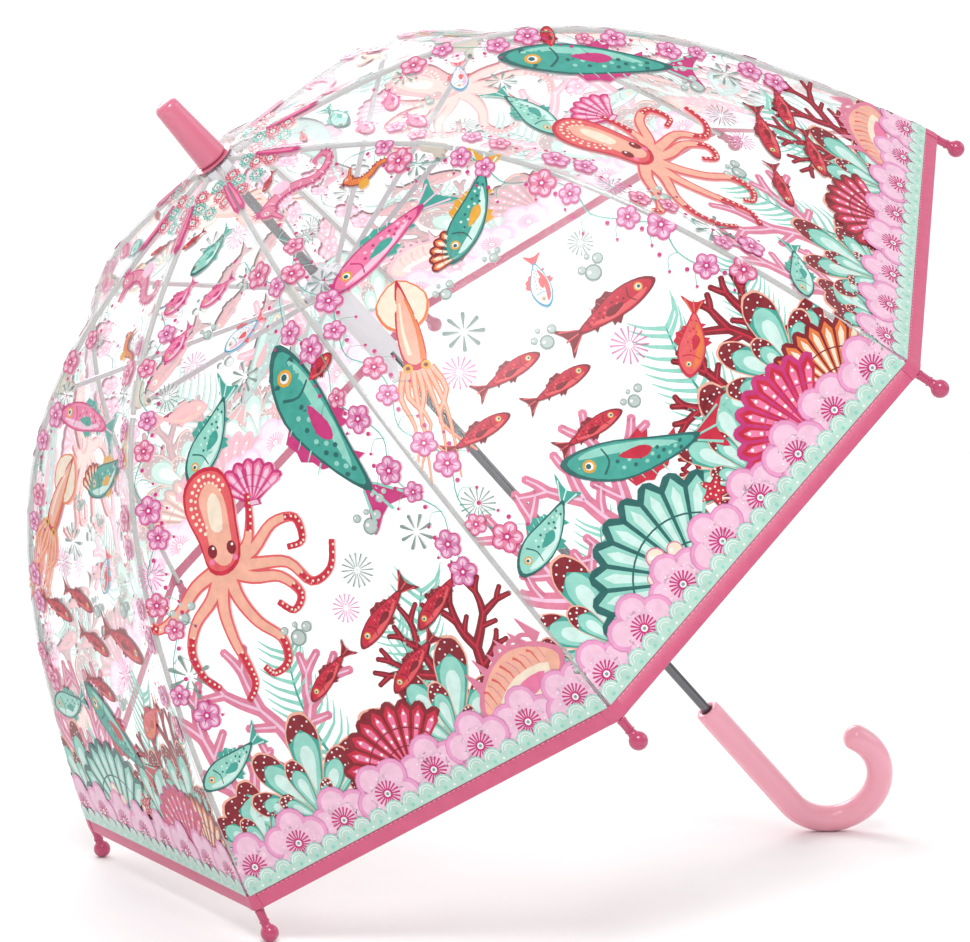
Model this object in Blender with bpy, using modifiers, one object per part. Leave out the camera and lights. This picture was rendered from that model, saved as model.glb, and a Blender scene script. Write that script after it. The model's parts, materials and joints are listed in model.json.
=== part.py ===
"""Children's clear dome umbrella with a hook handle, open and lying at rest on
two rib tips and its hook. Metres, +Z up, floor at z = 0."""

import math

import bmesh
import bpy
import numpy as np
from mathutils import Matrix, Vector

# ---- driving dimensions (metres, radians) ----------------------------------
RIBS = 8
CANOPY_R = 0.350  # shaft axis to a hem corner
CANOPY_H = 0.2895  # crown to hem, along the shaft
NOTCH_R = 0.012  # shaft axis to a rib's upper pivot
CROWN_HANDLE = (0.1381, 0.0323)  # how far the meridian runs out flat at the crown
HEM_HANDLE = (0.1132, 0.2627)  # and how steeply it comes down to the hem
RIB_RADIUS = 0.0016
CLIP_AT, HINGE_AT = 0.158, 0.170  # along a rib from its upper pivot
CLIP_DROP = 0.008  # rib centre to the rivet
FILM_LIFT = 0.0024  # rib centre to the middle of the film
FILM_THICK = 0.0004
FILM_SAG = 0.005  # the film pulls in this much between two ribs

SHAFT_R, SHAFT_BORE = 0.0032, 0.0025
SHAFT_TOP, SHAFT_END = -0.046, 0.545  # distances below the crown, along the shaft
RUNNER_PIVOT_D, RUNNER_PIVOT_R = 0.105, 0.0125
RUNNER_TRAVEL = 0.2088
SLEEVE_FROM, SLEEVE_TO, SLEEVE_R = 0.1118, 0.183, 0.0090
CATCH_HEIGHT = 0.0026  # how far a catch stands out of the shaft
FERRULE_TIP = 0.051  # above the crown
HANDLE_FROM, GRIP = 0.5032, 0.0960
HOOK_R, HOOK_TURN, HOOK_ROLL = 0.0331, math.radians(204), math.radians(-30)
HANDLE_R = 0.0088
BALL_R, BALL_AT = 0.0055, 0.0160  # rib-tip ball, and its distance past the hem
GAP = 0.0003

# ---- the meridian that every rib and panel follows -------------------------
_p = np.array(
    [
        (NOTCH_R, 0.0),
        (NOTCH_R + CROWN_HANDLE[0], CROWN_HANDLE[1]),
        (CANOPY_R - HEM_HANDLE[0], CANOPY_H - HEM_HANDLE[1]),
        (CANOPY_R, CANOPY_H),
    ]
)
_t = np.linspace(0, 1, 801)[:, None]
_curve = (
    (1 - _t) ** 3 * _p[0]
    + 3 * (1 - _t) ** 2 * _t * _p[1]
    + 3 * (1 - _t) * _t**2 * _p[2]
    + _t**3 * _p[3]
)
_arc = np.r_[0, np.cumsum(np.hypot(*np.diff(_curve, axis=0).T))]
RIB_LENGTH = float(_arc[-1])


def along(s):
    """Point (radius, drop), tangent and inward normal at length s down a rib."""
    c = min(max(s, 0.0), RIB_LENGTH)
    at = lambda x: np.array([np.interp(x, _arc, _curve[:, i]) for i in (0, 1)])
    a, b = at(max(c - 0.002, 0)), at(min(c + 0.002, RIB_LENGTH))
    t = (b - a) / np.linalg.norm(b - a)
    return at(c) + t * (s - c), t, np.array([-t[1], t[0]])


def film(s, across):
    """A point of the film's middle surface in a panel's own frame: across is -1
    on one rib and 1 on the next."""
    p, _, n = along(s)
    r, d = p - n * FILM_LIFT
    half = math.pi / RIBS
    sag = FILM_SAG * (1 - across**2) * math.sin(math.pi * min(s / RIB_LENGTH, 1)) ** 0.8
    x = r * math.cos(half) + n[0] * sag
    y = across * (r * math.sin(half) - 0.0004)
    return x, y, -(d + n[1] * sag)


# ---- helpers ----------------------------------------------------------------
for old in list(bpy.data.objects):
    bpy.data.objects.remove(old, do_unlink=True)

parts = bpy.data.collections.new("childrens_umbrella")
cutters = bpy.data.collections.new("cutters")
bpy.context.scene.collection.children.link(parts)
bpy.context.scene.collection.children.link(cutters)


def material(name, colour, rough, metal=0.0, alpha=1.0):
    m = bpy.data.materials.new(name)
    m.use_nodes = True
    b = m.node_tree.nodes["Principled BSDF"]
    b.inputs["Base Color"].default_value = (*colour, 1)
    b.inputs["Roughness"].default_value = rough
    b.inputs["Metallic"].default_value = metal
    b.inputs["Alpha"].default_value = alpha
    return m


STEEL = material("bright_steel", (0.72, 0.73, 0.75), 0.12, 1.0)
GREY_STEEL = material("grey_steel", (0.55, 0.56, 0.58), 0.3, 1.0)
PINK = material("pink_plastic", (0.93, 0.42, 0.50), 0.22)
CLEAR = material("clear_film", (0.95, 0.96, 0.97), 0.05, 0.0, 0.25)
FROSTED = material("frosted_plastic", (0.82, 0.84, 0.86), 0.35)
COATED = material("coated_rib", (0.80, 0.80, 0.80), 0.35)
SPRING = material("spring_steel", (0.6, 0.6, 0.6), 0.25, 1.0)

frame = bpy.data.objects.new("umbrella_frame", None)
frame.empty_display_size = 0.05
parts.objects.link(frame)


def place(obj, mat=None, at=(0, 0, 0), turn=0.0, collection=parts):
    """Puts obj in the umbrella's frame: +Z from handle to crown, crown at zero."""
    collection.objects.link(obj)
    obj.parent = frame
    obj.location = at
    obj.rotation_euler = (0, 0, turn)
    if mat:
        obj.data.materials.clear()
        obj.data.materials.append(mat)
    return obj


def smooth(mesh):
    mesh.shade_smooth()
    mesh.set_sharp_from_angle(angle=math.radians(35))
    return mesh


def mesh_from(bm, name):
    me = bpy.data.meshes.new(name)
    bm.normal_update()
    bm.to_mesh(me)
    bm.free()
    return me


def block(size, centre=(0, 0, 0), rot=None):
    bm = bmesh.new()
    bmesh.ops.create_cube(bm, size=1.0)
    m = Matrix.Translation(centre) @ (rot or Matrix()) @ Matrix.Diagonal((*size, 1))
    bmesh.ops.transform(bm, matrix=m, verts=bm.verts)
    return mesh_from(bm, "block")


def drum(radius, depth, centre=(0, 0, 0), rot=None, sides=16, radius2=None):
    bm = bmesh.new()
    bmesh.ops.create_cone(
        bm,
        cap_ends=True,
        segments=sides,
        radius1=radius,
        radius2=radius if radius2 is None else radius2,
        depth=depth,
    )
    bmesh.ops.transform(
        bm, matrix=Matrix.Translation(centre) @ (rot or Matrix()), verts=bm.verts
    )
    return mesh_from(bm, "drum")


def combine(base, steps, name):
    """Applies (operation, mesh) booleans to the mesh base, one after another."""
    obj = bpy.data.objects.new(name, base)
    cutters.objects.link(obj)
    for i, (operation, mesh) in enumerate(steps):
        tool = bpy.data.objects.new(f"{name}_tool{i}", mesh)
        cutters.objects.link(tool)
        tool.hide_render = True
        tool.display_type = "WIRE"
        mod = obj.modifiers.new(f"step{i}", "BOOLEAN")
        mod.operation = operation
        mod.object = tool
    graph = bpy.context.evaluated_depsgraph_get()
    graph.update()
    mesh = bpy.data.meshes.new_from_object(obj.evaluated_get(graph))
    mesh.name = name
    for o in [o for o in cutters.objects if o.name.startswith(name)]:
        bpy.data.objects.remove(o, do_unlink=True)
    return mesh


def rod(points, radius, name, resolution=1, radii=None):
    """A round bar along points, as a closed mesh."""
    curve = bpy.data.curves.new(name, "CURVE")
    curve.dimensions = "3D"
    curve.bevel_depth = radius
    curve.bevel_resolution = resolution
    curve.use_fill_caps = True
    line = curve.splines.new("POLY")
    line.points.add(len(points) - 1)
    for i, p in enumerate(points):
        line.points[i].co = (*p, 1)
        line.points[i].radius = 1.0 if radii is None else radii[i]
    obj = bpy.data.objects.new(name, curve)
    cutters.objects.link(obj)
    graph = bpy.context.evaluated_depsgraph_get()
    graph.update()
    mesh = bpy.data.meshes.new_from_object(obj.evaluated_get(graph))
    mesh.name = name
    bpy.data.objects.remove(obj, do_unlink=True)
    bm = bmesh.new()
    bm.from_mesh(mesh)
    bmesh.ops.remove_doubles(bm, verts=bm.verts, dist=1e-6)
    bmesh.ops.recalc_face_normals(bm, faces=bm.faces)
    bm.to_mesh(mesh)
    bm.free()
    return mesh


def turned(profile, name, steps=20):
    """A turned solid. profile is (radius, height) down the outer side and, for a
    ring or a cup, back up the inner side; it closes on itself or on the axis."""
    me = bpy.data.meshes.new(name)
    closed = profile[0][0] > 1e-9
    n = len(profile)
    edges = [(i, (i + 1) % n) for i in range(n if closed else n - 1)]
    me.from_pydata([(r, 0, z) for r, z in profile], edges, [])
    obj = bpy.data.objects.new(name, me)
    cutters.objects.link(obj)
    mod = obj.modifiers.new("turn", "SCREW")
    mod.steps = mod.render_steps = steps
    mod.use_merge_vertices = True
    mod.merge_threshold = 1e-6
    mod.use_smooth_shade = True
    graph = bpy.context.evaluated_depsgraph_get()
    graph.update()
    mesh = bpy.data.meshes.new_from_object(obj.evaluated_get(graph))
    mesh.name = name
    bpy.data.objects.remove(obj, do_unlink=True)
    bm = bmesh.new()
    bm.from_mesh(mesh)
    bmesh.ops.remove_doubles(bm, verts=bm.verts, dist=1e-6)
    bmesh.ops.recalc_face_normals(bm, faces=bm.faces)
    bm.to_mesh(mesh)
    bm.free()
    return mesh


def add(name, mesh, mat, at=(0, 0, 0), turn=0.0):
    return place(bpy.data.objects.new(name, smooth(mesh)), mat, at, turn)


ALONG_Y = Matrix.Rotation(math.pi / 2, 4, "X")
RIB_TURN = [math.radians(22.5 + 45 * k) for k in range(RIBS)]
PANEL_TURN = [math.radians(45 + 45 * k) for k in range(RIBS)]
CATCH_TURN = math.radians(270)  # between two ribs


def polar(r, d, turn):
    return (r * math.cos(turn), r * math.sin(turn), -d)


# ---- shaft -------------------------------------------------------------------
OPEN_CATCH_D = 0.1834  # its blocking face, just below the open runner's sleeve
CLOSED_CATCH_D = 0.3860  # its blocking face, inside the closed runner's window
CATCH_LENGTH = 0.0125


def slot_block(d0, d1, r0, r1, width):
    """A box along the shaft between two drops and two radii, on the catches' side."""
    return block(
        (r1 - r0, width, d1 - d0),
        ((r0 + r1) / 2, 0, -(d0 + d1) / 2),
    )


def turned_to(mesh, turn):
    mesh.transform(Matrix.Rotation(turn, 4, "Z"))
    return mesh


tube = turned(
    [
        (SHAFT_R, -SHAFT_TOP),
        (SHAFT_R, -SHAFT_END),
        (SHAFT_BORE, -SHAFT_END),
        (SHAFT_BORE, -SHAFT_TOP),
    ],
    "shaft_tube",
    16,
)
slots = [
    turned_to(slot_block(a - GAP, b + GAP, 0.0012, 0.0045, 0.0022 + 2 * GAP), CATCH_TURN)
    for a, b in (
        (OPEN_CATCH_D, OPEN_CATCH_D + CATCH_LENGTH),
        (CLOSED_CATCH_D - CATCH_LENGTH, CLOSED_CATCH_D),
    )
]
add("shaft_tube", combine(tube, [("DIFFERENCE", m) for m in slots], "shaft_tube"), STEEL)


def catch(tall_d, low_d):
    """A pressed-in wedge: full height at tall_d, flush with the shaft at low_d."""
    wedge = block((0.0052, 0.0022, CATCH_LENGTH), (0.0006 + 0.0026, 0, 0))
    for v in wedge.vertices:
        outer = v.co.x > 0.003
        tall = (v.co.z > 0) == (tall_d < low_d)
        if outer and not tall:
            v.co.x = SHAFT_R - 0.0002
    wedge.transform(Matrix.Translation((0, 0, -(tall_d + low_d) / 2)))
    return turned_to(wedge, CATCH_TURN)


add("open_catch", catch(OPEN_CATCH_D, OPEN_CATCH_D + CATCH_LENGTH), SPRING)
add("closed_catch", catch(CLOSED_CATCH_D, CLOSED_CATCH_D - CATCH_LENGTH), SPRING)

add(
    "stop_ring",
    turned(
        [(0.0056, -0.0928), (0.0056, -0.0986), (0.0035, -0.0986), (0.0035, -0.0928)],
        "stop_ring",
        16,
    ),
    FROSTED,
)

# ---- crown -------------------------------------------------------------------
notch = turned(
    [
        (0.0134, 0.0014),
        (0.0134, -0.0036),
        (0.0070, -0.0062),
        (0.0070, -0.0180),
        (0.0035, -0.0180),
        (0.0035, 0.0014),
    ],
    "top_notch",
    32,
)
notch_cuts = [
    turned_to(block((0.010, 0.0038, 0.020), (0.0136, 0, 0)), a) for a in RIB_TURN
]
add("top_notch", combine(notch, [("DIFFERENCE", m) for m in notch_cuts], "top_notch"), FROSTED)

add(
    "canopy_cap",
    turned(
        [(0.0136, 0.0042), (0.0138, 0.0036), (0.0035, 0.0036), (0.0035, 0.0044)],
        "canopy_cap",
        32,
    ),
    PINK,
)
f = FERRULE_TIP
add(
    "ferrule",
    turned(
        [
            (0, f),
            (0.0052, f - 0.0003),
            (0.0072, f - 0.0013),
            (0.0079, f - 0.0032),
            (0.0102, 0.0056),
            (0.0100, 0.0048),
            (0.0035, 0.0048),
            (0.0035, 0.0468),
            (0, 0.0468),
        ],
        "ferrule",
        24,
    ),
    PINK,
)

# ---- ribs --------------------------------------------------------------------
def rib_local(s, origin):
    p, _, _ = along(s)
    return (p[0] - origin[0], 0, -(p[1] - origin[1]))


def in_plane(p, origin):
    return (p[0] - origin[0], 0, -(p[1] - origin[1]))


def tilt_to(t):
    """Turns local +X onto direction t of the (radius, drop) plane."""
    return Matrix.Rotation(math.atan2(t[1], t[0]), 4, "Y")


notch_pivot = np.array([NOTCH_R, 0.0])
clip_rib, clip_t, clip_n = along(CLIP_AT)
rivet = clip_rib + clip_n * CLIP_DROP
hinge_p, hinge_t, hinge_n = along(HINGE_AT)
turn_t = tilt_to(clip_t)

upper = rod(
    [rib_local(s, notch_pivot) for s in np.linspace(-0.0015, HINGE_AT - 0.0014, 6)],
    RIB_RADIUS,
    "rib_upper",
)
saddle_c = clip_rib + clip_n * 0.0017 - clip_t * 0.002
ear_c = clip_rib + clip_n * 0.0060


def rivet_drum(radius, depth, y):
    x, _, z = in_plane(rivet, notch_pivot)
    return drum(radius, depth, (x, y, z), ALONG_Y, 8)


upper = combine(
    upper,
    [
        ("UNION", block((0.0170, 0.0046, 0.0034), in_plane(saddle_c, notch_pivot), turn_t)),
        ("UNION", block((0.0052, 0.0050, 0.0088), in_plane(ear_c, notch_pivot), turn_t)),
        (
            "DIFFERENCE",
            block(
                (0.0240, 0.0020, 0.0100),
                in_plane(clip_rib + clip_n * 0.0088, notch_pivot),
                turn_t,
            ),
        ),
        ("UNION", rivet_drum(0.0008, 0.0052, 0)),
        ("UNION", rivet_drum(0.0013, 0.0008, 0.0027)),
        ("UNION", rivet_drum(0.0013, 0.0008, -0.0027)),
    ],
    "rib_upper",
)
lower = rod(
    [
        rib_local(s, hinge_p)
        for s in np.linspace(HINGE_AT + 0.0014, RIB_LENGTH + 0.0060, 10)
    ],
    RIB_RADIUS,
    "rib_lower",
)

# ---- stretchers ---------------------------------------------------------------
runner_pivot = np.array([RUNNER_PIVOT_R, RUNNER_PIVOT_D])
reach = runner_pivot - rivet
STRETCHER = float(np.linalg.norm(reach))
reach_t = reach / STRETCHER
turn_r = tilt_to(reach_t)
bar = block(
    (STRETCHER + 0.0012, 0.0014, 0.0030),
    tuple(Vector(in_plane(rivet + reach_t * (STRETCHER + 0.0012) / 2, rivet))),
    turn_r,
)
stretcher = combine(
    bar,
    [
        ("UNION", drum(0.0022, 0.0014, (0, 0, 0), ALONG_Y, 12)),
        ("DIFFERENCE", drum(0.00105, 0.0050, (0, 0, 0), ALONG_Y, 8)),
    ],
    "stretcher",
)

# ---- rib tips -----------------------------------------------------------------
_, hem_t, _ = along(RIB_LENGTH)
ball = [
    (BALL_R * math.sin(a), BALL_AT + BALL_R * math.cos(a))
    for a in np.radians([0, 30, 60, 90, 120, 147])
]
tip = turned(
    ball
    + [
        (0.0028, 0.0090),
        (0.0028, 0.0008),
        (0.0020, 0.0008),
        (0.0020, 0.0066),
        (0, 0.0066),
    ],
    "tip",
    10,
)
# the tip's own +Z runs on past the hem, along the end of its rib
tip.transform(Matrix.Rotation(math.atan2(hem_t[0], -hem_t[1]), 4, "Y"))

for k, turn in enumerate(RIB_TURN, 1):
    add(f"rib_upper_{k}", upper, COATED, polar(*notch_pivot, turn), turn)
    add(f"rib_lower_{k}", lower, COATED, polar(*hinge_p, turn), turn)
    add(f"stretcher_{k}", stretcher, GREY_STEEL, polar(*rivet, turn), turn)
    add(f"tip_{k}", tip, PINK, polar(CANOPY_R, CANOPY_H, turn), turn)

# ---- canopy panels -------------------------------------------------------------
cos_half = math.cos(math.pi / RIBS)


def panel(s0, s1, columns, rows, origin, name):
    bm = bmesh.new()
    bmesh.ops.create_grid(bm, x_segments=columns, y_segments=rows, size=1.0)
    for v in bm.verts:
        x, y, z = film(s0 + (s1 - s0) * (v.co.y + 1) / 2, v.co.x)
        v.co = (x - origin[0] * cos_half, y, z + origin[1])
    me = mesh_from(bm, name)
    obj = bpy.data.objects.new(name, me)
    cutters.objects.link(obj)
    mod = obj.modifiers.new("thickness", "SOLIDIFY")
    mod.thickness = FILM_THICK
    mod.offset = 0
    graph = bpy.context.evaluated_depsgraph_get()
    graph.update()
    mesh = bpy.data.meshes.new_from_object(obj.evaluated_get(graph))
    mesh.name = name
    bpy.data.objects.remove(obj, do_unlink=True)
    return mesh


gore_upper = panel(0.0030, HINGE_AT - 0.0003, 4, 5, notch_pivot, "gore_upper")
gore_lower = panel(HINGE_AT + 0.0003, RIB_LENGTH - 0.0002, 4, 9, hinge_p, "gore_lower")
for k, turn in enumerate(PANEL_TURN, 1):
    add(f"gore_upper_{k}", gore_upper, CLEAR, polar(NOTCH_R * cos_half, 0, turn), turn)
    add(
        f"gore_lower_{k}",
        gore_lower,
        CLEAR,
        polar(hinge_p[0] * cos_half, hinge_p[1], turn),
        turn,
    )

# ---- runner --------------------------------------------------------------------
d0 = RUNNER_PIVOT_D
ring = turned(
    [
        (0.0138, -(d0 - 0.0061)),
        (0.0150, -(d0 - 0.0045)),
        (0.0150, -(d0 + 0.0045)),
        (0.0120, -(d0 + 0.0065)),
        (0.0037, -(d0 + 0.0065)),
        (0.0037, -(d0 - 0.0061)),
    ],
    "runner_crown",
    32,
)
groove = lambda a, b: turned_to(slot_block(a, b, 0.0, 0.0064, 0.0030), CATCH_TURN)
ring_cuts = [
    turned_to(block((0.0080, 0.0022, 0.0200), (0.0103 + 0.0040, 0, -d0)), a)
    for a in RIB_TURN
]
add(
    "runner_crown",
    combine(
        ring,
        [("DIFFERENCE", m) for m in ring_cuts]
        + [("DIFFERENCE", groove(d0 - 0.01, d0 + 0.01))],
        "runner_crown",
    ),
    FROSTED,
)
sleeve = turned(
    [
        (SLEEVE_R - 0.0004, -SLEEVE_FROM),
        (SLEEVE_R, -SLEEVE_FROM - 0.0006),
        (SLEEVE_R, -SLEEVE_TO + 0.0060),
        (SLEEVE_R + 0.0009, -SLEEVE_TO + 0.0040),
        (SLEEVE_R + 0.0009, -SLEEVE_TO + 0.0008),
        (SLEEVE_R, -SLEEVE_TO),
        (0.0037, -SLEEVE_TO),
        (0.0037, -SLEEVE_FROM),
    ],
    "runner_sleeve",
    24,
)
window_to = CLOSED_CATCH_D - RUNNER_TRAVEL + 0.0004
window = turned_to(
    slot_block(window_to - CATCH_LENGTH - 0.0012, window_to, 0.0050, 0.0120, 0.0030),
    CATCH_TURN,
)
add(
    "runner_sleeve",
    combine(
        sleeve,
        [
            ("DIFFERENCE", groove(SLEEVE_FROM - 0.01, SLEEVE_TO + 0.01)),
            ("DIFFERENCE", window),
        ],
        "runner_sleeve",
    ),
    FROSTED,
)

# ---- handle ----------------------------------------------------------------------
hook_u = np.array([math.cos(HOOK_ROLL), math.sin(HOOK_ROLL), 0.0])
down = np.array([0.0, 0.0, -1.0])
line, radii = [], []
for d, w in ((0.0, 0.84), (0.0012, 0.92), (0.006, 0.93), (0.030, 0.97), (0.060, 1.0)):
    line.append(down * (HANDLE_FROM + d))
    radii.append(w)
for a in np.linspace(0, HOOK_TURN, 19):
    line.append(
        down * (HANDLE_FROM + GRIP)
        + HOOK_R * (hook_u * (1 - math.cos(a)) + down * math.sin(a))
    )
    radii.append(1.0)
end_dir = hook_u * math.sin(HOOK_TURN) + down * math.cos(HOOK_TURN)
for x in (0.35, 0.65, 0.85, 0.96, 0.998):
    line.append(
        down * (HANDLE_FROM + GRIP)
        + HOOK_R * (hook_u * (1 - math.cos(HOOK_TURN)) + down * math.sin(HOOK_TURN))
        + end_dir * HANDLE_R * 0.9 * x
    )
    radii.append(math.sqrt(1 - x * x))
handle = rod([tuple(p) for p in line], HANDLE_R, "handle", 3, radii)
bore = drum(0.0035, 0.046, (0, 0, -(HANDLE_FROM + 0.0225)), None, 16)
add("handle", combine(handle, [("DIFFERENCE", bore)], "handle"), PINK)

# ---- rest on the floor: two lowest tips and the hook -------------------------------
tip_centre = np.array([CANOPY_R, CANOPY_H]) + hem_t * BALL_AT


def lowest_points(tilt):
    """Heights under the crown of the two lower balls and of the hook, when the
    shaft slopes down by tilt towards the handle."""
    c, s = math.cos(tilt), math.sin(tilt)
    ball_z = -tip_centre[1] * s - tip_centre[0] * cos_half * c - BALL_R
    hook_z = min(p[2] * s + p[0] * c - HANDLE_R * w for p, w in zip(line, radii))
    return ball_z, hook_z


low, high = math.radians(30), math.radians(60)
for _ in range(50):
    tilt = (low + high) / 2
    ball_z, hook_z = lowest_points(tilt)
    low, high = (tilt, high) if hook_z > ball_z else (low, tilt)
frame.rotation_euler = (0, tilt - math.pi / 2, 0)

# ---- origin: centre of the footprint, on the floor -----------------------------------
bpy.data.collections.remove(cutters)
bpy.context.view_layer.update()
corners = np.array(
    [
        o.matrix_world @ v.co
        for o in parts.objects
        if o.type == "MESH"
        for v in o.data.vertices
    ]
)
lo, hi = corners.min(0), corners.max(0)
frame.location = (-(lo[0] + hi[0]) / 2, -(lo[1] + hi[1]) / 2, -lo[2])
bpy.context.view_layer.update()
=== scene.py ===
import json
import math
import random

import bmesh
import bpy
import numpy as np
from mathutils import Matrix, Vector
from mathutils.geometry import tessellate_polygon


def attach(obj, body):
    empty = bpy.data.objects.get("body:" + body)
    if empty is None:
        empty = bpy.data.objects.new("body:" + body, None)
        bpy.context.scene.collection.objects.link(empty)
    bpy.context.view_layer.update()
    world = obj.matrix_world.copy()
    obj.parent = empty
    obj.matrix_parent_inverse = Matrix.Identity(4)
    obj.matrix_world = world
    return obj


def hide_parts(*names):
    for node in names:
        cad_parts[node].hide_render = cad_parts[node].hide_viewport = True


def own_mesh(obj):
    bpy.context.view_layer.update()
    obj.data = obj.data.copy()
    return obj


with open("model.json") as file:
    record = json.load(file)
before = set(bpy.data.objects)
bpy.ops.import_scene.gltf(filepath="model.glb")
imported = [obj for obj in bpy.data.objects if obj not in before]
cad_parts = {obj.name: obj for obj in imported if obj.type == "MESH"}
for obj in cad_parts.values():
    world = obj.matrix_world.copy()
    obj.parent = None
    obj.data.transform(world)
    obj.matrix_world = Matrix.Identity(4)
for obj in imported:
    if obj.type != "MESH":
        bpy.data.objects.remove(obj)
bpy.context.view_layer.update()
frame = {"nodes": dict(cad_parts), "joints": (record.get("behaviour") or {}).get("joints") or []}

JOINTS = {j["name"]: j for j in frame["joints"]}

# ---- the same meridian as the CAD ----
RIBS = 8
NOTCH_R, CANOPY_R, CANOPY_H = 0.012, 0.350, 0.2895
CLIP_AT, HINGE_AT, CLIP_DROP = 0.158, 0.170, 0.008
RIB_RADIUS, FILM_LIFT, FILM_SAG = 0.0016, 0.0024, 0.005
SHAFT_R = 0.0032
HANDLE_FROM, GRIP, HANDLE_R = 0.5032, 0.0960, 0.0088
HOOK_R, HOOK_TURN, HOOK_ROLL = 0.0331, math.radians(204), math.radians(-30)
BALL_R, BALL_AT, FERRULE_TIP = 0.0055, 0.0160, 0.051
HALF = math.pi / RIBS
TOP_PULL, HEM_PULL = (0.1381, 0.0323), (0.1132, 0.2627)  # reach of the curve's two handles
EDGE_GAP = 0.0004  # the film's edge stops this short of the rib's middle

_p = np.array([
    (NOTCH_R, 0),
    (NOTCH_R + TOP_PULL[0], TOP_PULL[1]),
    (CANOPY_R - HEM_PULL[0], CANOPY_H - HEM_PULL[1]),
    (CANOPY_R, CANOPY_H),
])
_t = np.linspace(0, 1, 801)[:, None]
_curve = (1 - _t) ** 3 * _p[0] + 3 * (1 - _t) ** 2 * _t * _p[1] + 3 * (1 - _t) * _t**2 * _p[2] + _t**3 * _p[3]
_arc = np.r_[0, np.cumsum(np.hypot(*np.diff(_curve, axis=0).T))]
_tan = np.gradient(_curve, _arc, axis=0)
_tan /= np.linalg.norm(_tan, axis=1)[:, None]
RIB_LENGTH = float(_arc[-1])

crown = np.mean([JOINTS[f"rib_hinge_{k}"]["pos_m"] for k in range(1, RIBS + 1)], axis=0)
z_axis = -Vector(JOINTS["runner_slide"]["axis"]).normalized()
x_axis = Vector((0, 1, 0)).cross(z_axis).normalized()
y_axis = z_axis.cross(x_axis)
FRAME = Matrix.Translation(Vector(crown)) @ Matrix((x_axis, y_axis, z_axis)).transposed().to_4x4()
M = np.array(FRAME)


def along(s):
    """Points (radius, drop), tangents and inward normals at lengths s down a rib."""
    s = np.atleast_1d(np.asarray(s, float))
    c = np.clip(s, 0, RIB_LENGTH)
    p = np.stack([np.interp(c, _arc, _curve[:, i]) for i in (0, 1)], -1)
    t = np.stack([np.interp(c, _arc, _tan[:, i]) for i in (0, 1)], -1)
    return p + t * (s - c)[:, None], t, np.stack([-t[:, 1], t[:, 0]], -1)


def half_width(y):
    p, _, n = along(RIB_LENGTH - np.asarray(y, float))
    return (p - n * FILM_LIFT)[:, 0] * math.sin(HALF) - EDGE_GAP


def edge_at(y):
    """Half the panel's width at one height above the hem."""
    return float(half_width(y)[0])


def turned(v, angle):
    """Local points about the shaft, turned by angle, into the row frame."""
    v = np.asarray(v, float)
    c, s = math.cos(angle), math.sin(angle)
    v = np.stack([v[:, 0] * c - v[:, 1] * s, v[:, 0] * s + v[:, 1] * c, v[:, 2]], -1)
    return v @ M[:3, :3].T + M[:3, 3]


def on_film(x, y, lift=0.0):
    """Panel points: x across from the panel's middle, y up from the hem, lift out."""
    x, y = np.broadcast_arrays(np.asarray(x, float), np.asarray(y, float))
    p, _, n = along(RIB_LENGTH - y.ravel())
    q = p - n * (FILM_LIFT + np.broadcast_to(lift, y.shape).ravel()[:, None])
    a = np.clip(x.ravel() / ((p - n * FILM_LIFT)[:, 0] * math.sin(HALF) - EDGE_GAP), -1, 1)
    s = np.clip((RIB_LENGTH - y.ravel()) / RIB_LENGTH, 0, 1)
    sag = FILM_SAG * (1 - a**2) * np.sin(np.pi * s) ** 0.8
    return np.stack([q[:, 0] * math.cos(HALF) + n[:, 0] * sag, x.ravel(), -(q[:, 1] + n[:, 1] * sag)], -1)


def on_rib(s, inward=0.0, side=0.0):
    p, _, n = along(s)
    q = p + n * inward
    return np.stack([q[:, 0], np.full(len(q), side), -q[:, 1]], -1)


PANEL_TURN = [math.radians(45 * k) for k in range(1, RIBS + 1)]
RIB_TURN = [math.radians(45 * k - 22.5) for k in range(1, RIBS + 1)]


# ---- materials ----
def dial(node, **values):
    """Sets a node's inputs; an underscore in a name stands for a space."""
    for name, value in values.items():
        node.inputs[name.replace("_", " ")].default_value = value


def surface(
    name, colour, rough=0.35, metal=0.0, vary=0.05, scale=40.0, bump=0.0, bump_scale=400.0,
    coat=0.0, alpha=1.0, rough_vary=0.05, painted_glow=0.0, shine=0.5,
):
    """Principled surface whose colour, roughness and height drift with noise."""
    m = bpy.data.materials.new(name)
    m.use_nodes = True
    nt = m.node_tree
    new, link = nt.nodes.new, nt.links.new
    b = nt.nodes["Principled BSDF"]
    dial(b, Metallic=metal, Coat_Weight=coat, Alpha=alpha, Specular_IOR_Level=shine)
    dial(b, Emission_Color=(*colour, 1), Emission_Strength=painted_glow)  # painted glow standing in for light through a printed film
    co = new("ShaderNodeTexCoord")
    noise = new("ShaderNodeTexNoise")
    dial(noise, Scale=scale, Detail=4)
    link(co.outputs["Object"], noise.inputs["Vector"])
    mix = new("ShaderNodeMix")
    mix.data_type = "RGBA"
    lo = [max(0, c * (1 - vary)) for c in colour]
    hi = [min(1, c * (1 + vary) + 0.15 * vary) for c in colour]
    mix.inputs[6].default_value = (*lo, 1)
    mix.inputs[7].default_value = (*hi, 1)
    link(noise.outputs["Fac"], mix.inputs[0])
    link(mix.outputs[2], b.inputs["Base Color"])
    span = new("ShaderNodeMapRange")
    dial(span, To_Min=max(0.02, rough - rough_vary), To_Max=min(1, rough + rough_vary))
    link(noise.outputs["Fac"], span.inputs["Value"])
    link(span.outputs["Result"], b.inputs["Roughness"])
    if bump:
        fine = new("ShaderNodeTexNoise")
        dial(fine, Scale=bump_scale)
        link(co.outputs["Object"], fine.inputs["Vector"])
        bm = new("ShaderNodeBump")
        dial(bm, Strength=bump, Distance=0.0004)
        link(fine.outputs["Fac"], bm.inputs["Height"])
        link(bm.outputs["Normal"], b.inputs["Normal"])
    return m


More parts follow.
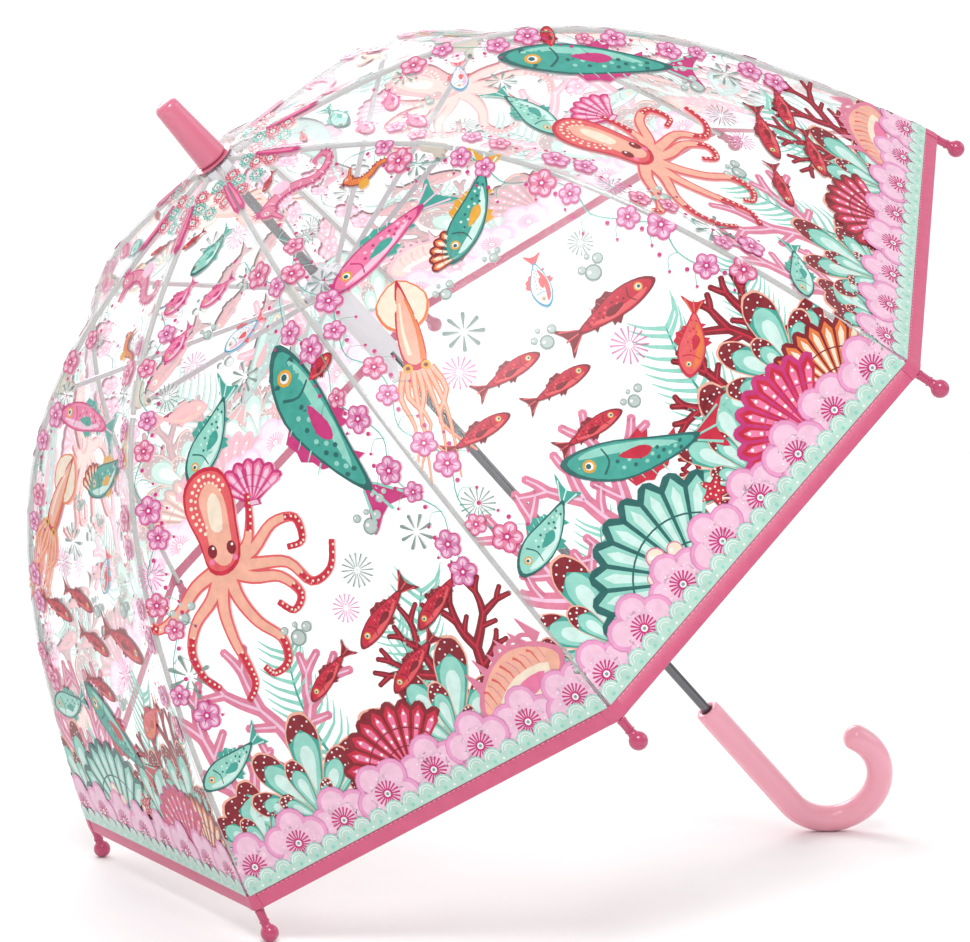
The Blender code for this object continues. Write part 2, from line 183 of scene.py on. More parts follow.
def film_material(name, low, high, colour):
    """Clear film: more visible where it is seen edge-on, a painted stand-in for its stronger reflection
    there, with faint long ripples.
    """
    m = surface(name, colour, 0.08, vary=0.02, scale=12)
    nt = m.node_tree
    new, link = nt.nodes.new, nt.links.new
    b = nt.nodes["Principled BSDF"]
    dial(b, Specular_IOR_Level=1.0)
    # painted reflection: the film grows more opaque where it is seen edge-on
    lw = new("ShaderNodeLayerWeight")
    dial(lw, Blend=0.25)
    ripple = new("ShaderNodeTexNoise")
    dial(ripple, Scale=9, Detail=2, Distortion=1.2)
    add = new("ShaderNodeMath")
    add.operation = "MULTIPLY_ADD"
    link(ripple.outputs["Fac"], add.inputs[0])
    add.inputs[1].default_value = 0.3
    link(lw.outputs["Facing"], add.inputs[2])
    span = new("ShaderNodeMapRange")
    dial(span, From_Min=0.12, From_Max=1.15, To_Min=low, To_Max=high)
    link(add.outputs[0], span.inputs["Value"])
    link(span.outputs["Result"], b.inputs["Alpha"])
    return m


FILM = film_material("clear_film", 0.06, 0.46, (0.86, 0.87, 0.89))
SEAM = film_material("welded_seam", 0.22, 0.70, (0.62, 0.63, 0.64))
INKS = {
    "red": (0.60, 0.012, 0.045), "dkred": (0.24, 0.005, 0.016), "coral": (0.80, 0.11, 0.12),
    "pink": (0.88, 0.20, 0.38), "ltpink": (0.93, 0.58, 0.74), "magenta": (0.60, 0.03, 0.20),
    "mauve": (0.72, 0.24, 0.48), "mint": (0.30, 0.68, 0.57), "ltmint": (0.66, 0.89, 0.82),
    "teal": (0.05, 0.38, 0.31), "dkteal": (0.015, 0.13, 0.12), "grey": (0.26, 0.34, 0.31),
    "ltgrey": (0.52, 0.60, 0.57), "orange": (0.82, 0.20, 0.05), "peach": (0.92, 0.46, 0.34),
    "cream": (0.95, 0.80, 0.64), "white": (0.93, 0.93, 0.92), "blue": (0.06, 0.36, 0.56),
    "gold": (0.80, 0.38, 0.03), "rose": (0.76, 0.22, 0.34), "orchid": (0.86, 0.36, 0.60),
    "sage": (0.50, 0.75, 0.65),
}
INK_NAMES = list(INKS)
INK_MATS = [
    surface(f"ink_{n}", tuple(0.82 * v for v in c), 0.3, vary=0.18, scale=170, alpha=0.99, shine=0.25)
    for n, c in INKS.items()
]
# the same inks seen through the film from inside: paler, with a painted glow standing in for the light behind
# them
INK_MATS += [
    surface(
        f"back_{n}", tuple(0.55 * v + 0.38 for v in c), 0.3, vary=0.08, scale=170, alpha=0.85,
        painted_glow=0.42, shine=0.25,
    )
    for n, c in INKS.items()
]
BINDING = surface("hem_tape", (0.56, 0.085, 0.18), 0.38, vary=0.10, scale=120, bump=0.5, bump_scale=1400)
THREAD = surface("stitch_thread", (0.80, 0.30, 0.40), 0.55, vary=0.12, scale=900, bump=0.5, bump_scale=3000)
GLOSS_PINK = surface(
    "pink_handle", (0.88, 0.39, 0.48), 0.20, vary=0.05, scale=14, coat=0.5, bump=0.04, bump_scale=60
)
TIP_PINK = surface("pink_tips", (0.46, 0.045, 0.13), 0.22, vary=0.06, scale=90, coat=0.4)
CAP_PINK = surface("pink_ferrule", (0.66, 0.16, 0.25), 0.24, vary=0.05, scale=30, coat=0.4)
# the steel's colour is darkened as painted shade, standing in for the dark reflections a polished shaft shows
STEEL = surface("polished_steel", (0.17, 0.175, 0.185), 0.10, 1.0, vary=0.06, scale=200, rough_vary=0.04)
GREY = surface("stretcher_steel", (0.52, 0.53, 0.55), 0.30, 1.0, vary=0.10, scale=300, bump=0.1)
SPRING = surface("spring_steel", (0.5, 0.5, 0.52), 0.25, 1.0, vary=0.1, scale=300)
COATED = surface("coated_rib", (0.50, 0.50, 0.48), 0.28, vary=0.05, scale=120, coat=0.2)
BEIGE = surface("rib_clip", (0.72, 0.64, 0.52), 0.42, vary=0.08, scale=200, bump=0.1)
FROST = surface("frosted_runner", (0.72, 0.75, 0.78), 0.38, vary=0.05, scale=60, bump=0.15, bump_scale=900)


# ---- mesh helpers ----
def piece(name, verts, faces, mat, body, smooth=True):
    me = bpy.data.meshes.new(name)
    me.from_pydata([tuple(v) for v in verts], [], [tuple(f) for f in faces])
    for m in mat if isinstance(mat, list) else [mat]:
        me.materials.append(m)
    me.validate()
    if smooth:
        me.shade_smooth()
        me.set_sharp_from_angle(angle=math.radians(40))
    o = bpy.data.objects.new(name, me)
    bpy.context.scene.collection.objects.link(o)
    if body:
        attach(o, body)
    return o


def grid_faces(rows, cols, wrap=False):
    n = cols if wrap else cols - 1
    quads = []
    for r in range(0, (rows - 1) * cols, cols):
        for c in range(n):
            d = (c + 1) % cols
            quads.append((r + c, r + d, r + cols + d, r + cols + c))
    return quads


def tube_faces(rows, cols):
    """A tube of rings, closed by its first and last ring."""
    ends = [tuple(range(cols)), tuple(range((rows - 1) * cols, rows * cols))[::-1]]
    return grid_faces(rows, cols, True) + ends


def lathe(profile, steps=48, turn=Matrix()):
    """Vertices and faces of a turned solid about local Z; ends on the axis close."""
    a = np.linspace(0, 2 * math.pi, steps, endpoint=False)
    v = [(turn @ Vector((r * math.cos(t), r * math.sin(t), z))) for r, z in profile for t in a]
    return [tuple(p) for p in v], grid_faces(len(profile), steps, True)


def sweep(points, radii, sides=14):
    """A tube along points with a radius at each, closed by its end rings."""
    p = [Vector(q) for q in points]
    n = len(p)
    tan = [(p[min(i + 1, n - 1)] - p[max(i - 1, 0)]).normalized() for i in range(n)]
    side = tan[0].orthogonal().normalized()
    angles = np.linspace(0, 2 * math.pi, sides, endpoint=False)
    verts = []
    for q, t, r in zip(p, tan, radii):
        side = (side - t * side.dot(t)).normalized()
        up = t.cross(side)
        verts += [q + (side * math.cos(a) + up * math.sin(a)) * r for a in angles]
    faces = grid_faces(n, sides, True) + [tuple(range(sides))[::-1], tuple(range((n - 1) * sides, n * sides))]
    return [tuple(v) for v in verts], faces


def merged(*shapes):
    verts, faces = [], []
    for v, f in shapes:
        faces += [tuple(i + len(verts) for i in g) for g in f]
        verts += list(v)
    return verts, faces


def gather(obj):
    """Gives the piece its own copy of its mesh."""
    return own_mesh(obj)


# body, outline, belly and fins
RED_FISH = ("red", "dkred", "coral", "dkred")
MINT_FISH = ("mint", "dkteal", "ltmint", "teal")


# ---- printed motifs ----
class Print(list):
    """Shapes as (points, ink, layer); motifs at a higher level cover lower ones."""

    level = 0


class Pen:
    """Draws in a motif's own units at a place on the panel, in metres."""

    bend = 0.0

    def __init__(self, out, x, y, size, turn=0.0, flip=1):
        c, s = math.cos(turn), math.sin(turn)
        self.m = np.array([[c * size * flip, -s * size], [s * size * flip, c * size]])
        self.o = np.array([x, y])
        self.out = out

    def put(self, pts, ink, layer=0):
        pts = np.array(pts, float)
        pts[:, 1] += self.bend * np.clip(pts[:, 0] + 0.15, 0, 1) ** 2
        self.out.append((pts @ self.m.T + self.o, ink, layer + self.out.level))

    def disc(self, x, y, r, ink, layer=0, ry=None, n=12):
        a = np.linspace(0, 2 * math.pi, n, endpoint=False)
        self.put(np.stack([x + r * np.cos(a), y + (ry or r) * np.sin(a)], -1), ink, layer)

    def blob(self, pts, ink, layer=0, grow=1.0, n=3):
        p = np.asarray(pts, float)
        mid = p.mean(0)
        p = mid + (p - mid) * grow
        self.put(spline(p, n, True), ink, layer)

    def stroke(self, pts, w0, w1, ink, layer=0, n=3, power=1.0):
        p = spline(np.asarray(pts, float), n, False) if len(pts) > 2 else np.asarray(pts, float)
        t = np.gradient(p, axis=0)
        t /= np.linalg.norm(t, axis=1)[:, None] + 1e-9
        f = np.linspace(0, 1, len(p))[:, None] ** power
        w = (w0 + (w1 - w0) * f) / 2
        a, b = p + np.stack([-t[:, 1], t[:, 0]], -1) * w, p - np.stack([-t[:, 1], t[:, 0]], -1) * w
        for i in range(len(p) - 1):
            self.put([a[i], a[i + 1], b[i + 1], b[i]], ink, layer)


def spline(p, n, closed):
    """Catmull-Rom through p with n points per span."""
    k = len(p)
    out = []
    for i in range(k if closed else k - 1):
        q = [p[(i + j) % k] if closed else p[min(max(i + j, 0), k - 1)] for j in (-1, 0, 1, 2)]
        for t in np.arange(n) / n:
            square = (2 * q[0] - 5 * q[1] + 4 * q[2] - q[3]) * t**2
            cube = (3 * q[1] - q[0] - 3 * q[2] + q[3]) * t**3
            out.append(0.5 * (2 * q[1] + (q[2] - q[0]) * t + square + cube))
    if not closed:
        out.append(p[-1])
    return np.array(out)


def mirrored(pts):
    return [(-u, v) for u, v in pts[::-1]]


def spokes(n, start=0.0):
    """The cosine and sine of n even directions round a circle."""
    return [(math.cos(i * math.tau / n + start), math.sin(i * math.tau / n + start)) for i in range(n)]


def fish(out, x, y, size, turn=0.0, inks=RED_FISH, bend=0.0, tall=1.0, flip=1):
    """A fish of length 1: bend curls its tail and tall deepens its body."""
    body, dark, light, fin = inks
    p = Pen(out, x, y, size, turn, flip)
    p.bend = bend

    def deep(*pts):
        return [(u, v * tall) for u, v in pts]

    p.blob([(0.30, 0), (0.40, 0.05), (0.56, 0.17), (0.49, 0), (0.56, -0.17), (0.40, -0.05)], fin)
    back_fin = deep((-0.14, 0.10), (-0.07, 0.175), (0.0, 0.155), (0.05, 0.165), (0.09, 0.12))
    p.put([*back_fin, *deep((0.15, 0.105), (0.17, 0.06))], fin)
    p.put(deep((-0.10, -0.09), (0.0, -0.165), (0.02, -0.13), (0.06, -0.145), (0.05, -0.08)), fin)
    p.put(deep((0.15, -0.05), (0.23, -0.105), (0.23, -0.04)), fin)
    for a in (-0.12, -0.04, 0.04, 0.12):
        p.stroke(deep((a, 0.09), (a + 0.035, 0.14)), 0.010, 0.004, light, 1)
    for a in (0.1, 0.0, -0.1):
        p.stroke([(0.36, a * 0.3), (0.52, a * 1.2)], 0.012, 0.016, light, 1)
    upper = deep((-0.40, 0.085), (-0.16, 0.13), (0.12, 0.085))
    lower = deep((0.12, -0.085), (-0.16, -0.12), (-0.40, -0.085))
    outline = [(-0.52, -0.015), *upper, (0.36, 0.025), (0.36, -0.025), *lower]
    p.blob(outline, dark, 1)
    p.blob(outline, body, 2, 0.90)
    belly = [*deep((-0.40, -0.03), (-0.1, -0.04)), (0.24, -0.01), *deep((0.02, -0.085), (-0.28, -0.085))]
    p.blob(belly, light, 3)
    for i in range(6):
        for j in (-1, 0, 1):
            v = (0.042 * j + 0.012) * tall * (1 - 0.1 * i)
            p.disc(-0.16 + 0.075 * i + 0.035 * (j % 2), v, 0.014, light if (i + j) % 2 else dark, 4, n=6)
    p.stroke(deep((-0.25, 0.08), (-0.21, 0.0), (-0.25, -0.08)), 0.016, 0.010, dark, 4)
    p.blob([(-0.15, -0.02), (0.0, 0.02), (0.07, -0.03), (-0.01, -0.06 * tall)], fin, 5)
    p.disc(-0.34, 0.018, 0.044, "gold", 4, n=10)
    p.disc(-0.34, 0.018, 0.028, "white", 5, n=8)
    p.disc(-0.345, 0.018, 0.018, "dkteal", 6, n=7)


def shell(out, x, y, size, turn=0.0, a="pink", b="ltpink", dark="red", ribs=9, dots=True):
    """A fan shell: ribs spread from its hinge, on a scalloped dark edge."""
    p = Pen(out, x, y, size, turn)
    span = math.radians(66)

    def at(r, t):
        return r * math.sin(t), r * math.cos(t) - 0.42

    edge = []
    for i in range(ribs):
        a0, a1 = -span + 2 * span * i / ribs, -span + 2 * span * (i + 1) / ribs
        edge += [at(r, a0 + (a1 - a0) * f) for f, r in ((0, 0.86), (0.25, 0.93), (0.5, 0.95), (0.75, 0.93))]
    p.put([(-0.1, -0.44), *edge, (0.1, -0.44)], dark)
    p.put([(-0.22, -0.5), (-0.17, -0.36), (0.17, -0.36), (0.22, -0.5)], dark)
    p.put([(-0.17, -0.48), (-0.13, -0.39), (0.13, -0.39), (0.17, -0.48)], b, 1)
    for i in range(ribs):
        a0 = -span + 2 * span * (i + 0.1) / ribs
        a1 = -span + 2 * span * (i + 0.9) / ribs
        am = (a0 + a1) / 2
        p.put([at(0.04, am), at(0.8, a0), at(0.9, am), at(0.8, a1)], a, 1)
        left, right = a0 + (am - a0) * 0.45, a1 + (am - a1) * 0.45
        p.put([at(0.1, am), at(0.74, left), at(0.83, am), at(0.74, right)], b, 2)
        if dots:
            for r in (0.45, 0.62, 0.76):
                p.disc(*at(r, am), 0.022, "white", 3, n=6)
    for r in (0.34, 0.58):
        p.stroke([at(r, t) for t in np.linspace(-span * 0.93, span * 0.93, 9)], 0.016, 0.016, dark, 3, 2)


def coral(out, x, y, size, ink="red", turn=0.0, seed=1, dots="coral"):
    p, rng = Pen(out, x, y, size, turn), random.Random(seed)

    def grow(px, py, a, length, w, depth):
        bend = rng.uniform(-0.25, 0.25)
        qx, qy = px + length * math.sin(a), py + length * math.cos(a)
        mx, my = (px + qx) / 2 + bend * length * 0.3, (py + qy) / 2
        p.stroke([(px, py), (mx, my), (qx, qy)], w, w * 0.72, ink, depth % 2)
        p.disc(qx, qy, w * 0.42, ink, depth % 2, n=7)
        p.stroke([(px, py), (mx, my), (qx, qy)], w * 0.22, w * 0.15, dots, 2)
        if depth < 3:
            for s in (-1, 1):
                branch = a + s * rng.uniform(0.28, 0.62)
                grow(qx, qy, branch, length * rng.uniform(0.56, 0.76), w * 0.78, depth + 1)
            if depth < 2:
                fork = px + (qx - px) * 0.6, py + (qy - py) * 0.6
                grow(*fork, a + rng.choice((-1, 1)) * 0.9, length * 0.5, w * 0.6, depth + 2)

    for k in (-0.35, 0.25):
        grow(k * 0.3, 0, k, 0.34, 0.105, 0)


def pods(out, x, y, size, turn=0.0):
    """A clump of speckled seed pods in three fanned rows, the longest at the back."""
    p = Pen(out, x, y, size, turn)
    side = [(0.07, 0.25), (0.15, 0.6), (0.16, 0.82), (0.08, 0.98)]
    shape = [(0, 0.0), *side, (0, 1.0), *mirrored(side)]
    brow = [(-0.14, 0.72), (-0.14, 0.84), (-0.07, 0.955)]
    crest = [*brow, (0, 0.975), *mirrored(brow), (0.0, 0.84)]
    specks = [(-0.11, 0.76), (-0.085, 0.88), (-0.03, 0.94), (0.03, 0.87), (0.085, 0.90), (0.115, 0.78)]
    specks.append((-0.04, 0.83))
    spread = 56
    for row, (count, reach) in enumerate(((4, 1.0), (3, 0.72), (2, 0.46))):
        for i in range(count):
            a = math.radians(-spread + 2 * spread * i / (count - 1)) * (1 - 0.16 * row)
            c, s = math.cos(a), math.sin(a)
            f = reach * (1 - 0.14 * (i % 2))
            at = lambda u, v: ((u * c + v * s) * f, (-u * s + v * c) * f)
            inner = lambda g, lift=0.0: [at(u * g, 0.60 + (v - 0.60) * g + lift) for u, v in shape]
            b = row * 4
            p.blob(inner(1), "peach", b, n=2)
            p.blob(inner(0.93), "teal", b + 1, n=2)
            p.blob([at(*q) for q in crest], "dkred", b + 2, n=2)
            p.blob(inner(0.70, -0.07), "mint", b + 2, n=2)
            p.blob(inner(0.42, -0.08), "ltmint", b + 3, n=2)
            for q in specks:
                p.disc(*at(*q), 0.011, "white", b + 3, n=5)


def palm(out, x, y, size, turn=0.0):
    """A feathery frond: blades on both sides of a bending stem."""
    p = Pen(out, x, y, size, turn)
    stem = spline(np.array([(0, 0), (0.05, 0.35), (0.16, 0.7), (0.34, 1.0)]), 4, False)
    p.stroke(stem, 0.03, 0.012, "teal", 0, 1)
    for i, q in enumerate(stem[1:]):
        for a in (0.35 - 0.95, 0.35 + 0.95):
            r = 0.42 * (1 - 0.35 * i / len(stem))
            middle = q + r * 0.55 * np.array([math.sin(a), math.cos(a)])
            end = q + r * np.array([math.sin(a * 0.8), math.cos(a * 0.8)])
            p.stroke([q, middle, end], 0.04, 0.006, "mint", 0, 2)


def octopus(out, x, y, size, turn=0.0):
    """A long spotted head over eight curling arms."""
    p = Pen(out, x, y, size, turn)
    arms = (
        [(-0.05, 0), (-0.24, -0.08), (-0.40, -0.22), (-0.58, -0.30), (-0.66, -0.20), (-0.58, -0.12),
         (-0.48, -0.18)],
        [(-0.04, -0.02), (-0.14, -0.18), (-0.30, -0.32), (-0.38, -0.50), (-0.34, -0.68), (-0.24, -0.78)],
        [(-0.02, -0.03), (-0.07, -0.26), (-0.05, -0.48), (0.0, -0.66), (0.02, -0.80), (-0.06, -0.90)],
        [(0.02, -0.03), (0.06, -0.22), (0.16, -0.40), (0.30, -0.54), (0.30, -0.70), (0.18, -0.76),
         (0.12, -0.70)],
        [(0.03, -0.02), (0.20, -0.10), (0.40, -0.14), (0.52, -0.28), (0.44, -0.38), (0.34, -0.30)],
        [(0.04, 0), (0.26, -0.02), (0.48, -0.06), (0.62, -0.22), (0.78, -0.16), (0.84, 0.02)],
        [(0.05, 0.02), (0.24, 0.08), (0.42, 0.22), (0.60, 0.22), (0.62, 0.06), (0.50, 0.04)],
        [(0.05, 0.03), (0.20, 0.12), (0.26, 0.30), (0.27, 0.46)],
    )
    for path in arms:
        p.stroke(path, 0.125, 0.035, "coral", 0, 4, 0.8)
        p.stroke(path, 0.090, 0.016, "peach", 1, 4, 0.8)
        q = spline(np.array(path, float), 4, False)
        for i in range(len(q) // 2, len(q) - 1):
            p.stroke([q[i], q[i + 1]], 0.046, 0.040, "red", 2)
            p.disc(q[i][0] + 0.012, q[i][1], 0.010, "cream", 3, n=5)
    head = [(-0.11, 0.0), (-0.15, 0.20), (-0.22, 0.42), (-0.20, 0.60), (-0.08, 0.70), (0.08, 0.68)]
    head += [(0.16, 0.52), (0.16, 0.30), (0.14, 0.06), (0.02, -0.04)]
    p.blob(head, "red", 4)
    p.blob(head, "coral", 5, 0.92)
    face = [(-0.07, 0.1), (-0.08, 0.32), (-0.10, 0.50), (0.0, 0.60), (0.09, 0.48), (0.10, 0.26)]
    p.blob([*face, (0.08, 0.06), (0.0, 0.02)], "peach", 6)
    p.blob([(-0.04, 0.28), (-0.04, 0.46), (0.02, 0.52), (0.06, 0.42), (0.04, 0.26)], "cream", 7)
    for i in range(14):
        a = math.radians(-62 + 16 * i)
        for g in (0.86, 0.66):
            p.disc(-0.02 - 0.17 * g * math.cos(a), 0.44 + 0.24 * g * math.sin(a), 0.0165 * g, "cream", 7, n=7)
    for s in (-0.062, 0.085):
        p.disc(s, 0.13, 0.036, "dkred", 8, n=10, ry=0.048)
        p.disc(s + 0.010, 0.15, 0.011, "white", 9, n=6)
    for s in (-0.08, 0.10):
        p.disc(s, 0.06, 0.022, "pink", 8, n=8)


def squid(out, x, y, size, turn=0.0):
    """A narrow body with broad fins over seven trailing arms."""
    p = Pen(out, x, y, size, turn)
    for i in range(7):
        u = (i - 3) * 0.022
        s = (i - 3) / 3
        middle = (u * 1.2 + 0.05 * math.sin(i * 1.7), -0.32)
        end = (u * 2.2 + 0.04 * math.cos(i * 2.1), -0.5 - 0.06 * (i % 3))
        path = [(u, -0.02), (u * 1.4 + 0.02 * s, -0.16), middle, end]
        p.stroke(path, 0.040, 0.008, "orange", 0)
        p.stroke(path, 0.022, 0.004, "peach", 1)
    p.blob([(0, 0.5), (0.13, 0.38), (0.10, 0.24), (0, 0.20), (-0.10, 0.24), (-0.13, 0.38)], "orange", 0)
    p.blob([(0, 0.49), (0.12, 0.38), (0.09, 0.25), (0, 0.21), (-0.09, 0.25), (-0.12, 0.38)], "cream", 1)
    side = [(0.034, 0.36), (0.062, 0.18), (0.056, 0.02)]
    body = [(0, 0.5), *side, (0, -0.03), *mirrored(side)]
    p.blob(body, "red", 2)
    p.blob(body, "peach", 3, 0.86)
    p.stroke([(0.04, 0.02), (0.046, 0.2), (0.02, 0.38)], 0.03, 0.01, "orange", 4)
    p.stroke([(-0.02, 0.06), (-0.026, 0.2), (-0.01, 0.36)], 0.022, 0.008, "cream", 4)
    for s in (-1, 1):
        p.disc(0.045 * s, -0.01, 0.026, "gold", 4, n=8)
        p.disc(0.045 * s, -0.01, 0.012, "dkred", 5, n=6)


def seahorse(out, x, y, size, turn=0.0, flip=1, ink="rose", dark="magenta", light="ltpink"):
    p = Pen(out, x, y, size, turn, flip)
    path = [(-0.1, 0.36), (0.02, 0.34), (0.10, 0.2), (0.08, 0.02), (-0.02, -0.14), (0.0, -0.3)]
    path += [(0.1, -0.4), (0.2, -0.36), (0.2, -0.26), (0.13, -0.26)]
    back = spline(np.array(path), 3, False)
    for i, q in enumerate(back[3:-6]):
        t = back[i + 4] - back[i + 3]
        n = np.array([t[1], -t[0]]) / (np.linalg.norm(t) + 1e-9)
        p.put([q - t * 0.5 - n * -0.03, q - n * -0.12 * (1 - i / 34), q + t * 0.6 - n * -0.03], dark, 0)
    p.stroke(path, 0.19, 0.03, dark, 0, 3, 0.8)
    p.stroke(path, 0.15, 0.015, ink, 1, 3, 0.8)
    p.disc(-0.04, 0.37, 0.095, dark, 1)
    p.disc(-0.04, 0.37, 0.08, ink, 2)
    p.stroke([(-0.08, 0.35), (-0.27, 0.29)], 0.07, 0.045, dark, 1)
    p.stroke([(-0.08, 0.35), (-0.26, 0.293)], 0.045, 0.028, ink, 2)
    for a in (-0.5, 0.0, 0.5, 1.0):
        p.stroke([(-0.01, 0.43), (-0.01 + 0.1 * math.sin(a), 0.43 + 0.1 * math.cos(a))], 0.035, 0.01, dark, 0)
    for q0, q1 in zip(back[4:-8:2], back[5:-7:2]):
        t = q1 - q0
        n = np.array([t[1], -t[0]]) / (np.linalg.norm(t) + 1e-9)
        p.stroke([q0 - n * 0.01, q0 + n * 0.055], 0.014, 0.01, light, 3)
    p.blob([(0.12, 0.2), (0.27, 0.22), (0.27, 0.08), (0.13, 0.06)], light, 2)
    p.disc(-0.06, 0.39, 0.026, "white", 4, n=8)
    p.disc(-0.06, 0.39, 0.014, "dkred", 5, n=6)


def conch(out, x, y, size, turn=0.0):
    """A fat striped shell with a pale mouth and a crown of spikes."""
    p = Pen(out, x, y, size, turn)
    body = [(-0.5, -0.12), (-0.36, 0.08), (-0.1, 0.2), (0.15, 0.2), (0.38, 0.06), (0.5, -0.14)]
    body += [(0.3, -0.3), (0.0, -0.38), (-0.3, -0.32)]
    for i in range(6):
        a = -0.36 + 0.14 * i
        p.put([(a, 0.06), (a + 0.02, 0.30 + 0.05 * (i % 2)), (a + 0.11, 0.1)], "rose", 0)
    p.blob(body, "rose", 1)
    p.blob(body, "peach", 2, 0.88)
    p.blob([(-0.3, -0.12), (0.0, -0.02), (0.32, -0.12), (0.1, -0.28), (-0.18, -0.26)], "cream", 3)
    p.blob([(-0.2, -0.16), (0.02, -0.09), (0.24, -0.15), (0.06, -0.24)], "pink", 4)
    for i in range(11):
        a = -0.36 + 0.07 * i
        width, ink = (0.026, "coral") if i % 2 else (0.012, "rose")
        p.stroke([(a - 0.03, 0.14 - abs(a) * 0.25), (a, 0.04), (a - 0.01, -0.08)], width, 0.006, ink, 3, 2)
    for a in (0.0, 0.14, 0.26):
        p.stroke([(a, 0.2), (a + 0.05, 0.27 - a * 0.3), (a + 0.12, 0.2 - a * 0.3)], 0.05, 0.03, "rose", 0)


def starfish(out, x, y, size, turn=0.0):
    p = Pen(out, x, y, size, turn)
    for grow, ink, layer in ((1, "dkred", 0), (0.86, "red", 1)):
        ring = []
        for i, r in enumerate((0.5, 0.2) * 5):
            a = i * math.pi / 5
            ring.append((grow * r * math.sin(a), grow * r * math.cos(a)))
        p.put(spline(np.array(ring), 2, True), ink, layer)
    for c, s in spokes(5):
        for r in (0.1, 0.2, 0.3, 0.38):
            p.disc(r * s, r * c, 0.03 - 0.03 * r, "cream", 2, n=6)


def burst(out, x, y, size, ink="grey", rays=14):
    p = Pen(out, x, y, size)
    fat = 0.11 if rays < 10 else 0.045
    for c, s in spokes(rays):
        p.stroke([(c * 0.1, s * 0.1), (c * 0.5, s * 0.5)], 0.02, fat, ink, 0)
        p.disc(c * 0.5, s * 0.5, fat / 2, ink, 0, n=6)
    p.disc(0, 0, 0.05, "white", 1, n=6)


def bubbles(out, x, y, size, seed=1):
    p, rng = Pen(out, x, y, size), random.Random(seed)
    for cx, cy, r in ((0, 0, 0.2), (0.32, 0.16, 0.13), (-0.22, 0.26, 0.1), (0.1, 0.36, 0.07)):
        cx, cy = cx + rng.uniform(-0.05, 0.05), cy + rng.uniform(-0.05, 0.05)
        p.disc(cx, cy, r, "grey", 0)
        p.disc(cx, cy, r * 0.8, "ltgrey", 1)
        p.disc(cx - r * 0.3, cy + r * 0.3, r * 0.24, "white", 2, n=7)


def blossom(out, x, y, size, turn=0.0, petal="mauve", heart="magenta"):
    p = Pen(out, x, y, size, turn)
    for c, s in spokes(5):
        p.disc(c * 0.27, s * 0.27, 0.225, "magenta", 0, n=11)
        p.disc(c * 0.27, s * 0.27, 0.19, petal, 1, n=11)
        p.disc(c * 0.30, s * 0.30, 0.11, "ltpink", 2, n=9)
        p.stroke([(c * 0.1, s * 0.1), (c * 0.34, s * 0.34)], 0.05, 0.012, heart, 3)
    p.disc(0, 0, 0.13, heart, 4)
    p.disc(0, 0, 0.055, "white", 5, n=8)


def puff(out, x, y, size, turn=0.0):
    """A big border bloom: five round pale petals and a rayed magenta heart."""
    p = Pen(out, x, y, size, turn)
    for g, ink, layer in ((0.262, "mauve", 0), (0.246, "orchid", 1), (0.190, "ltpink", 2)):
        for c, s in spokes(5):
            p.disc(c * 0.30, s * 0.30, g, ink, layer, n=14)
    p.disc(0, 0, 0.30, "ltpink", 2, n=14)
    for c, s in spokes(10, 0.3):
        p.disc(c * 0.27, s * 0.27, 0.014, "white", 3, n=5)
    for c, s in spokes(18):
        p.stroke([(c * 0.05, s * 0.05), (c * 0.205, s * 0.205)], 0.018, 0.03, "magenta", 4)
    p.disc(0, 0, 0.08, "magenta", 5)
    p.disc(0, 0, 0.052, "white", 6, n=9)
    p.disc(0, 0, 0.026, "grey", 7, n=7)


def lace(out):
    """Scalloped mint lace just above the hem tape, right across the panel."""
    n, foot = 22, 0.0143
    w = edge_at(0.012)
    r = w / n
    p = Pen(out, 0, 0, 1.0)
    p.put([(-w, 0.0085), (w, 0.0085), (w - 0.001, 0.0145), (-w + 0.001, 0.0145)], "sage", 5)
    for i in range(n):
        x = -w + (i + 0.5) * 2 * w / n
        arch = lambda g, tall, angles: [(x + r * g * math.cos(a), foot + tall * math.sin(a)) for a in angles]
        p.put(arch(1, 0.0058, np.linspace(0, math.pi, 11)), "sage", 5)
        for g in (0.78, 0.5):
            p.stroke(arch(g, 0.0058 * g, np.linspace(0, math.pi, 7)), 0.0005, 0.0005, "white", 6, 1)
        for at in arch(0.97, 0.0057, np.linspace(0.15, math.pi - 0.15, 6)):
            p.disc(*at, 0.0006, "mint", 6, n=6)
        p.disc(x, 0.0118, 0.0012, "mint", 6, n=8)
        p.disc(x + r, 0.0112, 0.0008, "white", 6, n=7)


def garland(out, side, seed):
    """Blossoms and berries on a looping thread beside a rib seam."""
    rng = random.Random(seed)
    out.level = 28
    ys = np.linspace(0.115, 0.365, 15)
    xs = []
    for i, y in enumerate(ys):
        inset = 0.011 + 0.006 * math.sin(i * 1.9 + seed)
        xs.append(side * (edge_at(y) - inset))
    p = Pen(out, 0, 0, 1.0)
    p.stroke(list(zip(xs, ys)), 0.0006, 0.0006, "teal", 0, 4)
    for i, (x, y) in enumerate(zip(xs, ys)):
        if i % 3 != 2:
            at = x + rng.uniform(-0.003, 0.003)
            size = 0.0170 * rng.uniform(0.75, 1.15)
            blossom(out, at, y, size, rng.random() * 3, rng.choice(("mauve", "mauve", "rose")))
        p.disc(x - side * 0.008, y + 0.007, 0.0014, "magenta", 2, n=8)
        p.disc(x - side * 0.012, y - 0.004, 0.0010, "magenta", 2, n=7)
        tendril = [(x, y), (x - side * 0.006, y + 0.002), (x - side * 0.012, y - 0.004)]
        p.stroke(tendril, 0.0004, 0.0003, "teal", 0, 3)


